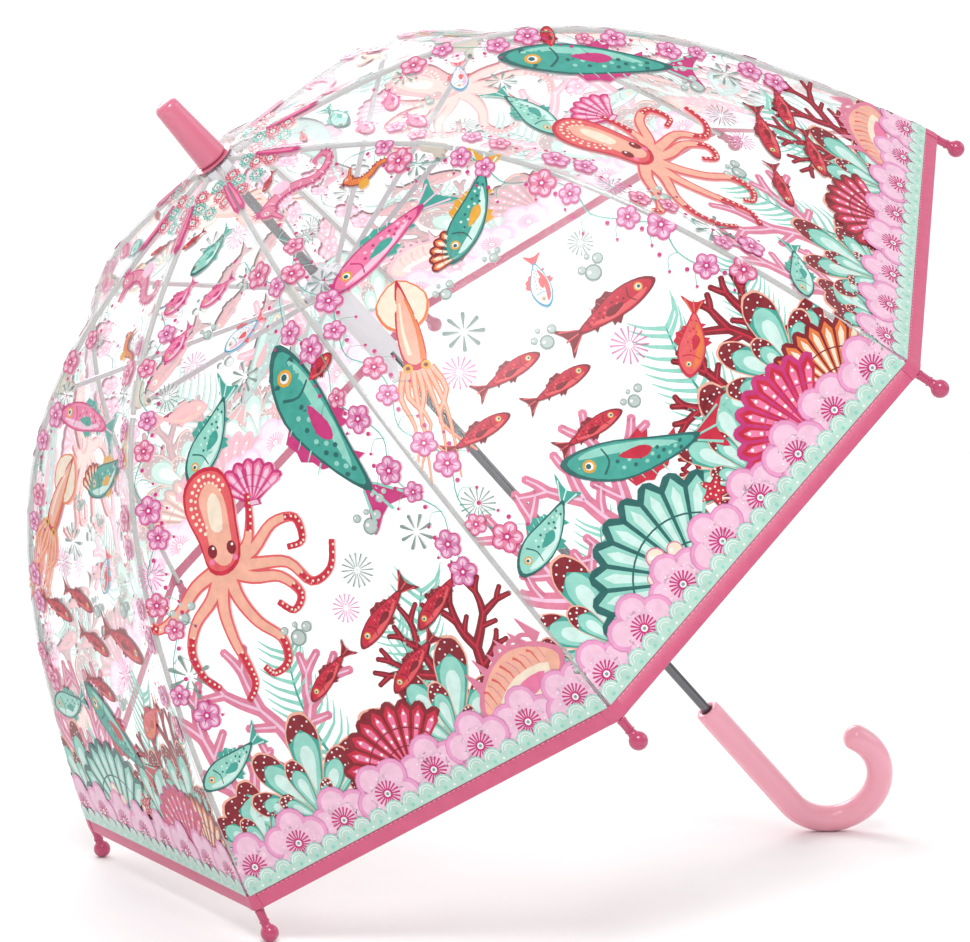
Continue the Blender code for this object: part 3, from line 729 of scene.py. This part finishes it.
def crown_ring(out):
    """Florets round the crown, with a deep pink tab over each rib."""
    for row, (y, n) in enumerate(((0.4520, 2), (0.4425, 2), (0.4325, 3))):
        w = edge_at(y)
        for i in range(n):
            p = Pen(out, -w + (i + 0.5) * 2 * w / n, y, 0.0105, i + row)
            inks = ("teal", "ltmint", "red") if (i + row) % 2 else ("red", "ltpink", "teal")
            for c, s in spokes(8):
                p.disc(0.36 * c, 0.36 * s, 0.15, inks[0], 0, n=7)
                p.disc(0.36 * c, 0.36 * s, 0.07, inks[1], 1, n=6)
            p.disc(0, 0, 0.17, "white", 1, n=8)
            p.disc(0, 0, 0.09, inks[2], 2, n=7)
    p = Pen(out, 0, 0, 1.0)
    # each tab's outline: height above the hem and distance in from the panel's edge
    outer = [(0.448, 0), (0.43, 0), (0.415, 0), (0.411, 0.0018), (0.416, 0.0042), (0.43, 0.0040)]
    outer.append((0.448, 0.0026))
    inner = [(0.446, 0.0004), (0.43, 0.0006), (0.418, 0.0006), (0.418, 0.0026), (0.43, 0.0026)]
    inner.append((0.446, 0.0014))
    for side in (-1, 1):
        for tab, ink, layer in ((outer, "magenta", 4), (inner, "pink", 5)):
            p.put([(side * (edge_at(y) - inset), y) for y, inset in tab], ink, layer)


def border(out, y, x0, seed):
    """A row of big blooms that overlap in turn, with the lace on top."""
    rng = random.Random(seed)
    for i in range(8):
        out.level = 27 + 8 * (i % 2)
        puff(out, x0 + i * 0.0340, y + rng.uniform(-0.001, 0.001), 0.0395, rng.random())
    out.level = 40
    lace(out)
    out.level = 20


def scatter(motif, out, *places):
    """Draws a motif at several places, each given as its arguments after out."""
    for place in places:
        motif(out, *place)


def pearls(out, *places):
    for x, y, r in places:
        p = Pen(out, x, y, 1.0)
        p.disc(0, 0, r, "rose", 4)
        p.disc(0, 0, r * 0.84, "cream", 5)
        p.disc(-r * 0.3, r * 0.3, r * 0.25, "white", 6, n=7)


def foam(out, shift, *places):
    """Clusters of bubbles; each draws its own random offsets from its place."""
    for x, y, size in places:
        bubbles(out, x, y, size, int(x * 1000) + shift)


def design_a():
    out = Print()
    coral(out, -0.078, 0.026, 0.135, "rose", -0.05, 3, "ltpink")
    coral(out, 0.070, 0.046, 0.082, "dkred", 0.1, 6, "red")
    scatter(palm, out, (-0.036, 0.050, 0.070, 0.25), (0.034, 0.046, 0.074, -0.1), (0.050, 0.046, 0.055, 0.5))
    out.level = 6
    scatter(pods, out, (-0.062, 0.028, 0.066, 0.05), (-0.104, 0.020, 0.052, 0.2), (0.040, 0.028, 0.066, -0.1))
    scatter(pods, out, (-0.012, 0.016, 0.040, 0.4), (0.118, 0.026, 0.040, -0.4))
    out.level = 19
    shell(out, 0.002, 0.048, 0.046, 0.1, "red", "pink", "dkred")
    conch(out, 0.092, 0.050, 0.068, 0.25)
    bubbles(out, 0.064, 0.030, 0.024, 2)
    starfish(out, -0.087, 0.036, 0.024, 0.3)
    border(out, 0.0235, -0.119, 4)
    fish(out, -0.097, 0.082, 0.050, 0.15, MINT_FISH, 0.25, 1.3)
    octopus(out, -0.042, 0.186, 0.088, -0.25)
    shell(out, -0.004, 0.224, 0.028, -0.3, "pink", "ltpink", "magenta", 7, False)
    fish(out, 0.052, 0.228, 0.125, 1.75, ("teal", "dkteal", "mint", "magenta"), -0.22, 1.05, -1)
    shoal = (0.038, 0.116, 0.050), (0.074, 0.108, 0.044), (-0.012, 0.101, 0.040), (0.040, 0.083, 0.044)
    scatter(fish, out, *[(*place, 0.42) for place in shoal])
    fish(out, -0.017, 0.262, 0.062, 0.65, MINT_FISH, 0.35, 1.35)
    fish(out, 0.022, 0.314, 0.032, 0.2, ("white", "blue", "ltpink", "coral"), 0, 1.5)
    for x, y, turn in ((-0.022, 0.370, 0.5), (0.006, 0.357, 0.2), (-0.026, 0.335, 0.6)):
        fish(out, x, y, 0.027, turn, ("pink", "magenta", "ltpink", "magenta"), 0.2, 1.6)
    fish(out, 0.002, 0.394, 0.036, 0.5, MINT_FISH, 0.25, 1.4)
    fish(out, -0.012, 0.416, 0.018, 0.4)
    fish(out, 0.066, 0.262, 0.026, 0.3, RED_FISH, 0, 1.5, -1)
    scatter(
        burst, out, (0.030, 0.352, 0.016, "grey", 8), (-0.040, 0.302, 0.018, "grey", 16),
        (0.016, 0.286, 0.019, "grey", 8), (-0.088, 0.204, 0.018, "mauve", 16),
        (-0.094, 0.140, 0.026, "grey", 8), (0.036, 0.146, 0.020, "grey", 16),
        (0.018, 0.130, 0.017, "mauve", 16), (0.082, 0.148, 0.020, "grey", 8),
    )
    foam(
        out, 0, (-0.019, 0.128, 0.026), (-0.080, 0.172, 0.022), (0.056, 0.164, 0.026),
        (0.070, 0.176, 0.016), (-0.004, 0.330, 0.016),
    )
    garland(out, 1, 1)
    garland(out, -1, 2)
    crown_ring(out)
    return out


def design_b():
    out = Print()
    coral(out, -0.072, 0.020, 0.135, "rose", 0.0, 4, "ltpink")
    coral(out, 0.074, 0.045, 0.094, "dkred", 0.15, 8, "red")
    coral(out, 0.020, 0.026, 0.060, "dkred", 0.3, 2, "red")
    scatter(palm, out, (0.036, 0.046, 0.078, 0.1), (0.088, 0.066, 0.055, -0.1), (-0.090, 0.028, 0.055, -0.2))
    out.level = 6
    scatter(pods, out, (-0.102, 0.022, 0.066, 0.15), (0.024, 0.030, 0.062), (0.082, 0.046, 0.062))
    pods(out, -0.020, 0.014, 0.036, 0.2)
    out.level = 19
    shell(out, 0.102, 0.042, 0.050, -0.35, "orange", "cream", "dkred", 11, False)
    shell(out, -0.050, 0.044, 0.068, 0.2, "mint", "ltmint", "dkteal", 9, False)
    pearls(out, (-0.052, 0.044, 0.0062), (-0.041, 0.039, 0.0050), (-0.062, 0.037, 0.0040))
    starfish(out, 0.000, 0.044, 0.026, 0.2)
    out.level = 23
    shell(out, 0.060, 0.043, 0.050, 0.25, "red", "pink", "magenta", 9)
    border(out, 0.0225, -0.121, 7)
    fish(out, -0.012, 0.088, 0.092, 2.45, ("teal", "dkteal", "mint", "red"), -0.3, 1.05, -1)
    fish(out, -0.083, 0.098, 0.056, 0.1, MINT_FISH, 0.3, 1.35)
    squid(out, -0.055, 0.222, 0.118, -0.62)
    fish(out, 0.042, 0.158, 0.062, -0.2, flip=-1)
    for x, y in ((-0.025, 0.178), (-0.012, 0.151), (-0.020, 0.120), (-0.064, 0.167)):
        fish(out, x, y, 0.042, -0.25, flip=-1)
    fish(out, 0.029, 0.201, 0.032, 1.0, ("white", "blue", "coral", "coral"), 0, 1.6)
    fish(out, 0.060, 0.110, 0.044, 0.55, ("coral", "red", "orange", "red"), 0.2, 1.5)
    seahorse(out, 0.002, 0.386, 0.064, 1.25)
    seahorse(out, 0.030, 0.344, 0.040, 1.0, -1, "orange", "dkred", "gold")
    fish(out, 0.040, 0.262, 0.070, 0.3, ("teal", "dkteal", "ltmint", "gold"), 0.3, 1.2)
    fish(out, -0.006, 0.296, 0.086, 0.0, ("pink", "magenta", "ltpink", "teal"), -0.15, 0.9)
    shell(out, 0.014, 0.258, 0.022, 0.2, "orange", "cream", "dkred", 7, False)
    fish(out, -0.002, 0.416, 0.018, 0.5)
    scatter(
        burst, out, (-0.022, 0.215, 0.023, "grey", 8), (-0.043, 0.200, 0.020, "mauve", 16),
        (0.033, 0.136, 0.022, "mauve", 16), (0.062, 0.198, 0.015, "grey", 16),
        (-0.046, 0.308, 0.016, "grey", 8), (-0.096, 0.140, 0.020, "grey", 16),
        (0.046, 0.316, 0.015, "grey", 8), (-0.026, 0.346, 0.014, "grey", 16),
    )
    foam(
        out, 3, (0.054, 0.180, 0.026), (0.004, 0.174, 0.022), (-0.037, 0.104, 0.022),
        (0.010, 0.112, 0.020), (-0.010, 0.240, 0.018), (0.024, 0.232, 0.014),
    )
    garland(out, 1, 5)
    garland(out, -1, 8)
    crown_ring(out)
    return out


BASE, LAYER = 0.00022, 0.00003  # lift of the first ink off the film, and of each ink on the last
CUT_X, CUT_Y = 0.014, 0.006  # the print is cut this finely, to follow the curved film


def flat_mesh(items, y0, y1):
    """The part of a design between two heights, as one flat mesh whose third
    coordinate is the lift. Upper layers are laid on both faces of the film."""
    bm = bmesh.new()
    for pts, ink, layer in items:
        if pts[:, 1].max() < y0 or pts[:, 1].min() > y1:
            continue
        tris = [(0, 1, 2, 3)] if len(pts) == 4 else tessellate_polygon([[Vector((*q, 0)) for q in pts]])
        for back, z in ((0, BASE + LAYER * layer), (len(INKS), -(BASE + LAYER * layer))):
            vs = [bm.verts.new((q[0], q[1], z)) for q in pts]
            for t in tris:
                if len({*t}) == len(t):
                    f = bm.faces.new([vs[i] for i in t])
                    f.material_index = INK_NAMES.index(ink) + back
    cuts = [((0, y, 0), (0, 1, 0)) for y in np.arange(math.ceil(y0 / CUT_Y) * CUT_Y, y1, CUT_Y)]
    cuts += [((x, 0, 0), (1, 0, 0)) for x in np.arange(-0.126, 0.13, CUT_X)]
    for co, no in cuts:
        geom = bm.verts[:] + bm.edges[:] + bm.faces[:]
        bmesh.ops.bisect_plane(bm, geom=geom, dist=1e-7, plane_co=co, plane_no=no)
    for y, no in ((y0, (0, -1, 0)), (y1, (0, 1, 0))):
        geom = bm.verts[:] + bm.edges[:] + bm.faces[:]
        bmesh.ops.bisect_plane(bm, geom=geom, dist=1e-7, plane_co=(0, y, 0), plane_no=no, clear_outer=True)
    middles = [(f, f.calc_center_median()) for f in bm.faces]
    kill = [f for f, mid in middles if abs(mid.x) > half_width(mid.y)[0] + EDGE_GAP]
    bmesh.ops.delete(bm, geom=kill, context="FACES")
    bmesh.ops.triangulate(bm, faces=bm.faces[:])
    verts = np.array([v.co for v in bm.verts])
    index = {v: i for i, v in enumerate(bm.verts)}
    faces = [tuple(index[v] for v in f.verts) for f in bm.faces]
    inks = [f.material_index for f in bm.faces]
    bm.free()
    hw = half_width(verts[:, 1]) - 0.0001
    verts[:, 0] = np.clip(verts[:, 0], -hw, hw)
    return verts, faces, inks


BEND_Y = RIB_LENGTH - HINGE_AT
TOP_Y = RIB_LENGTH - 0.0035
SPANS = {"upper": (BEND_Y + 0.0001, TOP_Y, 20), "lower": (0.0, BEND_Y - 0.0001, 38)}

# ---- canopy ----
art = {}
for which, draw in (("a", design_a), ("b", design_b)):
    items = draw()
    for part, (y0, y1, _) in SPANS.items():
        art[which, part] = flat_mesh(items, max(y0, 0.009), y1)

COLS = 15


# the folded tape's cross-section: height above the hem and lift off the film
HEM_OUTSIDE = ((0.0094, 0.0005), (0.0088, 0.0009), (0.0020, 0.0010), (-0.0002, 0.0008))
HEM_LOOP = (*HEM_OUTSIDE, (-0.0007, 0.0), *[(y, -lift) for y, lift in HEM_OUTSIDE[::-1]])


def tape(columns):
    """The folded tape on the hem: its cross-section swept across the panel."""
    w = edge_at(0.004) + 0.0001
    rows = [on_film(u * w, y, lift) for u in np.linspace(-1, 1, columns) for y, lift in HEM_LOOP]
    return np.vstack(rows), tube_faces(columns, len(HEM_LOOP))


STITCH_Y, STITCH_STEP = 0.0079, 0.0036
# one stitch lies across the tape: six points round its foot, then two along its back
STITCH = np.array([
    (-0.0011, 0), (-0.0006, 0.00026), (0.0006, 0.00026), (0.0011, 0), (0.0006, -0.00026),
    (-0.0006, -0.00026), (-0.0005, 0), (0.0005, 0),
])
STITCH_LIFT = np.array([0.00092] * 6 + [0.00092 + 0.00022] * 2)
STITCH_FACES = ((0, 1, 6), (1, 2, 7, 6), (2, 3, 7), (3, 4, 7), (4, 5, 6, 7), (5, 0, 6))


def stitches():
    verts, faces = [], []
    w = edge_at(0.0078) - 0.003
    for side in (1, -1):
        for x in np.arange(-w, w, STITCH_STEP):
            faces += [tuple(len(verts) + j for j in f) for f in STITCH_FACES]
            verts += [*on_film(x + STITCH[:, 0], STITCH_Y + STITCH[:, 1], side * STITCH_LIFT)]
    return np.array(verts), faces


tape_v, tape_f = tape(26)
stitch_v, stitch_f = stitches()
for k, turn in enumerate(PANEL_TURN):
    which = "ab"[k % 2]  # panels 1, 3, 5, 7 carry the first print
    for part, (y0, y1, rows) in SPANS.items():
        body = f"gore_{part}_{k + 1}"
        ys = np.linspace(y0, y1, rows)
        u = np.linspace(-1, 1, COLS)
        local = on_film(u[None] * half_width(ys)[:, None], np.repeat(ys[:, None], COLS, 1))
        faces = grid_faces(rows, COLS)
        film = piece(f"film_{part}_{k + 1}", turned(local, turn), faces, FILM, body)
        v, f, inks = art[which, part]
        at = turned(on_film(v[:, 0], v[:, 1], v[:, 2]), turn)
        prints = piece(f"prints_{part}_{k + 1}", at, f, list(INK_MATS), body, False)
        prints.data.polygons.foreach_set("material_index", inks)
        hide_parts(body)
        extra = [prints]
        if part == "lower":
            hem = piece(f"hem_tape_{k + 1}", turned(tape_v, turn), tape_f, BINDING, body)
            thread = piece(f"hem_stitches_{k + 1}", turned(stitch_v, turn), stitch_f, THREAD, body)
            extra += [hem, thread]
        wide, tall = 2 * float(half_width(ys).max()), float(y1 - y0)
        for o in [film, *extra]:
            gather(o)

# ---- ribs, clips, seams, tips ----
_, hem_t, _ = along(RIB_LENGTH)
hem_angle = math.atan2(hem_t[0][0], -hem_t[0][1])
TIP = Matrix.Translation((CANOPY_R, 0, -CANOPY_H)) @ Matrix.Rotation(hem_angle, 4, "Y")
ball = [(BALL_R * math.sin(a), BALL_AT + BALL_R * math.cos(a)) for a in np.linspace(0, 2.55, 18)]
neck = [(0.0027, 0.0102), (0.0026, 0.0092), (0.0031, 0.0088), (0.0031, 0.0080), (0.0026, 0.0076)]
foot = [(0.0027, 0.0030), (0.0030, 0.0012), (0.0028, 0.0007), (0.0017, 0.0006), (0.0016, 0.0050)]
tip_v, tip_f = lathe([(1e-5, ball[0][1]), *ball[1:], *neck, *foot], 28, TIP)


def clip_shape():
    """The crimped clip: a saddle under the rib and two ears that hold the rivet."""
    p, t, n = (a[0] for a in along(CLIP_AT))
    to = Matrix(((t[0], 0, n[0], p[0]), (0, 1, 0, 0), (-t[1], 0, -n[1], -p[1]), (0, 0, 0, 1)))
    parts = []

    def slab(outline, y0, y1):
        bm = bmesh.new()
        f = bm.faces.new([bm.verts.new((x, y0, z)) for x, z in outline])
        made = bmesh.ops.extrude_face_region(bm, geom=[f])["geom"]
        far = [g for g in made if isinstance(g, bmesh.types.BMVert)]
        bmesh.ops.translate(bm, vec=(0, y1 - y0, 0), verts=far)
        bmesh.ops.recalc_face_normals(bm, faces=bm.faces)
        bmesh.ops.bevel(bm, geom=bm.edges[:], offset=0.0002, segments=2, affect="EDGES")
        bm.verts.index_update()
        faces = [tuple(v.index for v in g.verts) for g in bm.faces]
        parts.append(([tuple(to @ v.co) for v in bm.verts], faces))
        bm.free()

    cheek = [(-0.0105, -0.0012), (0.0065, -0.0012), (0.0065, 0.0034)]
    cheek += [(0.0030, 0.0042), (0.0026, 0.0094), (0.0014, 0.0104)]
    cheek += [(-0.0014, 0.0104), (-0.0026, 0.0094), (-0.0030, 0.0042), (-0.0105, 0.0034)]
    for s in (-1, 1):
        slab(cheek, s * 0.0013, s * 0.0024)
    slab([(-0.0105, 0.0014), (0.0065, 0.0014), (0.0065, 0.0036), (-0.0105, 0.0036)], -0.0014, 0.0014)
    head = [(1e-5, 0.0034), (0.0009, 0.0033), (0.0014, 0.0029), (0.0015, 0.0024), (0.0008, 0.0024)]
    profile = head + [(r, -z) for r, z in head[::-1]]
    across = Matrix.Translation((0, 0, CLIP_DROP)) @ Matrix.Rotation(math.pi / 2, 4, "X")
    pin_v, pin_f = lathe(profile, 16, to @ across)
    return merged(*parts), (pin_v, pin_f)


(clip_v, clip_f), (pin_v, pin_f) = clip_shape()


def seam_strip(s0, s1, rows, turn):
    """The welded overlap over a rib, lying on the panels either side of it."""
    verts = []
    for s in np.linspace(s0, s1, rows):
        y = RIB_LENGTH - s
        w = edge_at(y)
        reach = min(0.0034, w * 0.6)
        half = [(-w, 1), (-w + reach * 0.5, 1), (-w + reach, 1)]
        for x, side in [(w - reach, -1), (w - reach * 0.5, -1), (w, -1), *half]:
            lift = 0.00042 if abs(abs(x) - w) < reach * 0.8 else 0.0003
            verts.append(turned(on_film(x, y, lift), turn + side * HALF)[0])
    return verts, grid_faces(rows, 6)


ROD_SPANS = (
    ("upper", -0.0015, HINGE_AT - 0.0014, 34),
    ("lower", HINGE_AT + 0.0014, RIB_LENGTH + 0.0055, 62),
)


def corner_tape(turn):
    """The tape's fold round a rib: short ends of the two hems that meet there."""
    verts = []
    w = edge_at(0.004)
    right = [(w - 0.0055, -1), (w - 0.003, -1), (w - 0.0003, -1)]
    for x, side in [*right, *[(-x, 1) for x, _ in right[::-1]]]:
        for y, lift in HEM_LOOP:
            at = on_film(x, y * 1.02 - 0.0001, lift * 1.45)
            verts.append(turned(at, turn + side * HALF)[0])
    return verts, tube_faces(6, len(HEM_LOOP))


for k, turn in enumerate(RIB_TURN, 1):
    for part, s0, s1, rows in ROD_SPANS:
        s = np.linspace(s0, s1, rows)
        v, f = sweep(turned(on_rib(s), turn), np.full(rows, RIB_RADIUS), 12)
        rib = piece(f"rib_{part}_{k}_rod", v, f, COATED, f"rib_{part}_{k}")
        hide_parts(f"rib_{part}_{k}")
    piece(f"rib_clip_{k}", turned(np.array(clip_v), turn), clip_f, BEIGE, f"rib_upper_{k}")
    piece(f"rib_rivet_{k}", turned(np.array(pin_v), turn), pin_f, STEEL, f"rib_upper_{k}")
    v, f = seam_strip(0.012, HINGE_AT - 0.0002, 30, turn)
    piece(f"seam_upper_{k}", v, f, SEAM, f"rib_upper_{k}")
    v, f = seam_strip(HINGE_AT + 0.0002, RIB_LENGTH - 0.0096, 52, turn)
    piece(f"seam_lower_{k}", v, f, SEAM, f"rib_lower_{k}")
    tip = piece(f"tip_{k}_ball", turned(np.array(tip_v), turn), tip_f, TIP_PINK, f"rib_lower_{k}")
    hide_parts(f"tip_{k}")
    v, f = corner_tape(turn)
    corner = piece(f"hem_corner_{k}", v, f, BINDING, f"rib_lower_{k}")
    gather(corner)
    node = frame["nodes"][f"stretcher_{k}"]
    node.data.materials.clear()
    node.data.materials.append(GREY)

# ---- shaft, ferrule, runner, handle ----
ROOT = "umbrella_shaft"
SHAFT_TOP, SHAFT_END = 0.046, -0.545
SHAFT_EDGE = 0.001  # how far the first and last loops of the wall stay from its ends
wall = [(SHAFT_R, z) for z in np.linspace(SHAFT_TOP - SHAFT_EDGE, SHAFT_END + SHAFT_EDGE, 24)]
profile = [(1e-5, SHAFT_TOP), (SHAFT_R, SHAFT_TOP), *wall, (SHAFT_R, SHAFT_END), (1e-5, SHAFT_END)]
v, f = lathe(profile, 48, FRAME)
shaft = piece("shaft_polished", v, f, STEEL, ROOT)
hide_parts("shaft_tube")

DOME = ((0, 0), (0.0040, 0.0001), (0.0058, 0.0006), (0.0070, 0.0016), (0.0077, 0.0030), (0.0079, 0.0050))
cap = [(max(r, 1e-5), FERRULE_TIP - drop) for r, drop in DOME]
(neck_r, neck_z), (brim_r, brim_z) = cap[-1], (0.0101, 0.0075)
for q in np.linspace(0.08, 1, 14):
    cap.append((neck_r + (brim_r - neck_r) * q, neck_z - (neck_z - brim_z) * q))
cap += [(0.0103, 0.0066), (0.0103, 0.0056), (0.0098, 0.0049), (0.0036, 0.0049)]
v, f = lathe(cap, 64, FRAME)
ferrule = piece("ferrule_cap", v, f, CAP_PINK, ROOT)
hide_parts("ferrule")

# the handle's mouth: distance down from its top edge and radius there
MOUTH = (
    (0.0120, 0.0038), (0.0030, 0.0038), (0.0012, 0.0040), (0.0004, 0.0046), (0.0, 0.0055),
    (0.0, 0.0068), (0.0004, 0.0077), (0.0014, 0.0083), (0.0030, 0.0085), (0.0100, 0.0086),
)


def handle_shape(sides=40):
    """A straight grip and a hook, as rings about a bending line."""
    hook_u = Vector((math.cos(HOOK_ROLL), math.sin(HOOK_ROLL), 0))
    down = Vector((0, 0, -1))
    spine = [(down * (HANDLE_FROM + d), r, down) for d, r in MOUTH]
    for d in np.linspace(0.020, GRIP - 0.004, 12):
        spine.append((down * (HANDLE_FROM + d), HANDLE_R * (0.975 + 0.025 * min(d / 0.06, 1)), down))
    centre = down * (HANDLE_FROM + GRIP)
    for a in np.linspace(0, HOOK_TURN, 46):
        at = centre + HOOK_R * (hook_u * (1 - math.cos(a)) + down * math.sin(a))
        spine.append((at, HANDLE_R, hook_u * math.sin(a) + down * math.cos(a)))
    last, _, end = spine[-1]
    for x in np.sin(np.linspace(0.12, 1.0, 9) * math.pi / 2):
        round_r = max(HANDLE_R * math.sqrt(max(1 - float(x) ** 2, 0)), 0.00005)
        spine.append((last + end * HANDLE_R * 0.9 * float(x), round_r, end))
    across = Vector((0, 0, 1)).cross(hook_u)
    angles = np.linspace(0, math.tau, sides, endpoint=False)
    verts = []
    for q, r, t in spine:
        up = t.cross(across).normalized()
        verts += [FRAME @ (q + (across * math.cos(a) + up * math.sin(a)) * r) for a in angles]
    return verts, grid_faces(len(spine), sides, True)


v, f = handle_shape()
handle = piece("hook_handle", v, f, GLOSS_PINK, ROOT)
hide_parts("handle")

CARRIED = {
    SPRING: ("open_catch", "closed_catch"),
    CAP_PINK: ("canopy_cap",),
    FROST: ("top_notch", "stop_ring", "runner_crown", "runner_sleeve"),
}
for mat, names in CARRIED.items():
    for name in names:
        mesh = frame["nodes"][name].data
        mesh.materials.clear()
        mesh.materials.append(mat)

# ---- floor, light, camera ----
FLOOR_SIZE, FLOOR_TURN = 5.6, -0.471  # its sides are square to the camera
bpy.ops.mesh.primitive_plane_add(size=FLOOR_SIZE, location=(0, 0, 0), rotation=(0, 0, FLOOR_TURN))
floor = bpy.context.object
floor.name = "floor"
floor_mat = surface("pale_floor", (0.90, 0.90, 0.90), 0.75, vary=0.005, scale=3)
floor.data.materials.append(floor_mat)

world = bpy.data.worlds.new("studio")
bpy.context.scene.world = world
world.use_nodes = True
wt = world.node_tree
back = wt.nodes["Background"]
dial(back, Color=(1, 1, 1, 1))
# a white sweep behind the umbrella and a dimmer room around it
parts = wt.nodes.new("ShaderNodeSeparateXYZ")
wt.links.new(wt.nodes.new("ShaderNodeTexCoord").outputs["Generated"], parts.inputs[0])
fade = wt.nodes.new("ShaderNodeMapRange")
dial(fade, From_Min=0.1, From_Max=0.75, To_Min=0.62, To_Max=1.15)
wt.links.new(parts.outputs["Y"], fade.inputs["Value"])
wt.links.new(fade.outputs["Result"], back.inputs["Strength"])


def area_light(name, at, to, size, power):
    data = bpy.data.lights.new(name, "AREA")
    data.size = size
    data.energy = power
    o = bpy.data.objects.new(name, data)
    bpy.context.scene.collection.objects.link(o)
    o.location = at
    o.rotation_mode = "QUATERNION"
    o.rotation_quaternion = (Vector(to) - Vector(at)).to_track_quat("-Z", "Y")
    return o


area_light("key", (-1.2, -2.2, 3.0), (0, 0, 0.2), 1.2, 75)
area_light("fill", (2.6, -1.0, 2.0), (0, 0, 0.2), 2.0, 12)
area_light("back", (0.3, 2.8, 2.4), (0, 0, 0.2), 2.0, 40)
bpy.context.scene.view_settings.view_transform = "Standard"

cam_data = bpy.data.cameras.new("camera")
cam = bpy.data.objects.new("camera", cam_data)
bpy.context.scene.collection.objects.link(cam)
cam_data.sensor_width = 36
cam_data.lens = 137.9
cam_data.shift_x = -0.0076
cam_data.shift_y = -0.0070
cam_data.clip_end = 100
cam.location = (-1.0739, -2.1049, 0.4979)
cam.rotation_mode = "QUATERNION"
cam.rotation_quaternion = Vector((0.45149, 0.88662, -0.10030)).to_track_quat("-Z", "Y")
bpy.context.scene.camera = cam
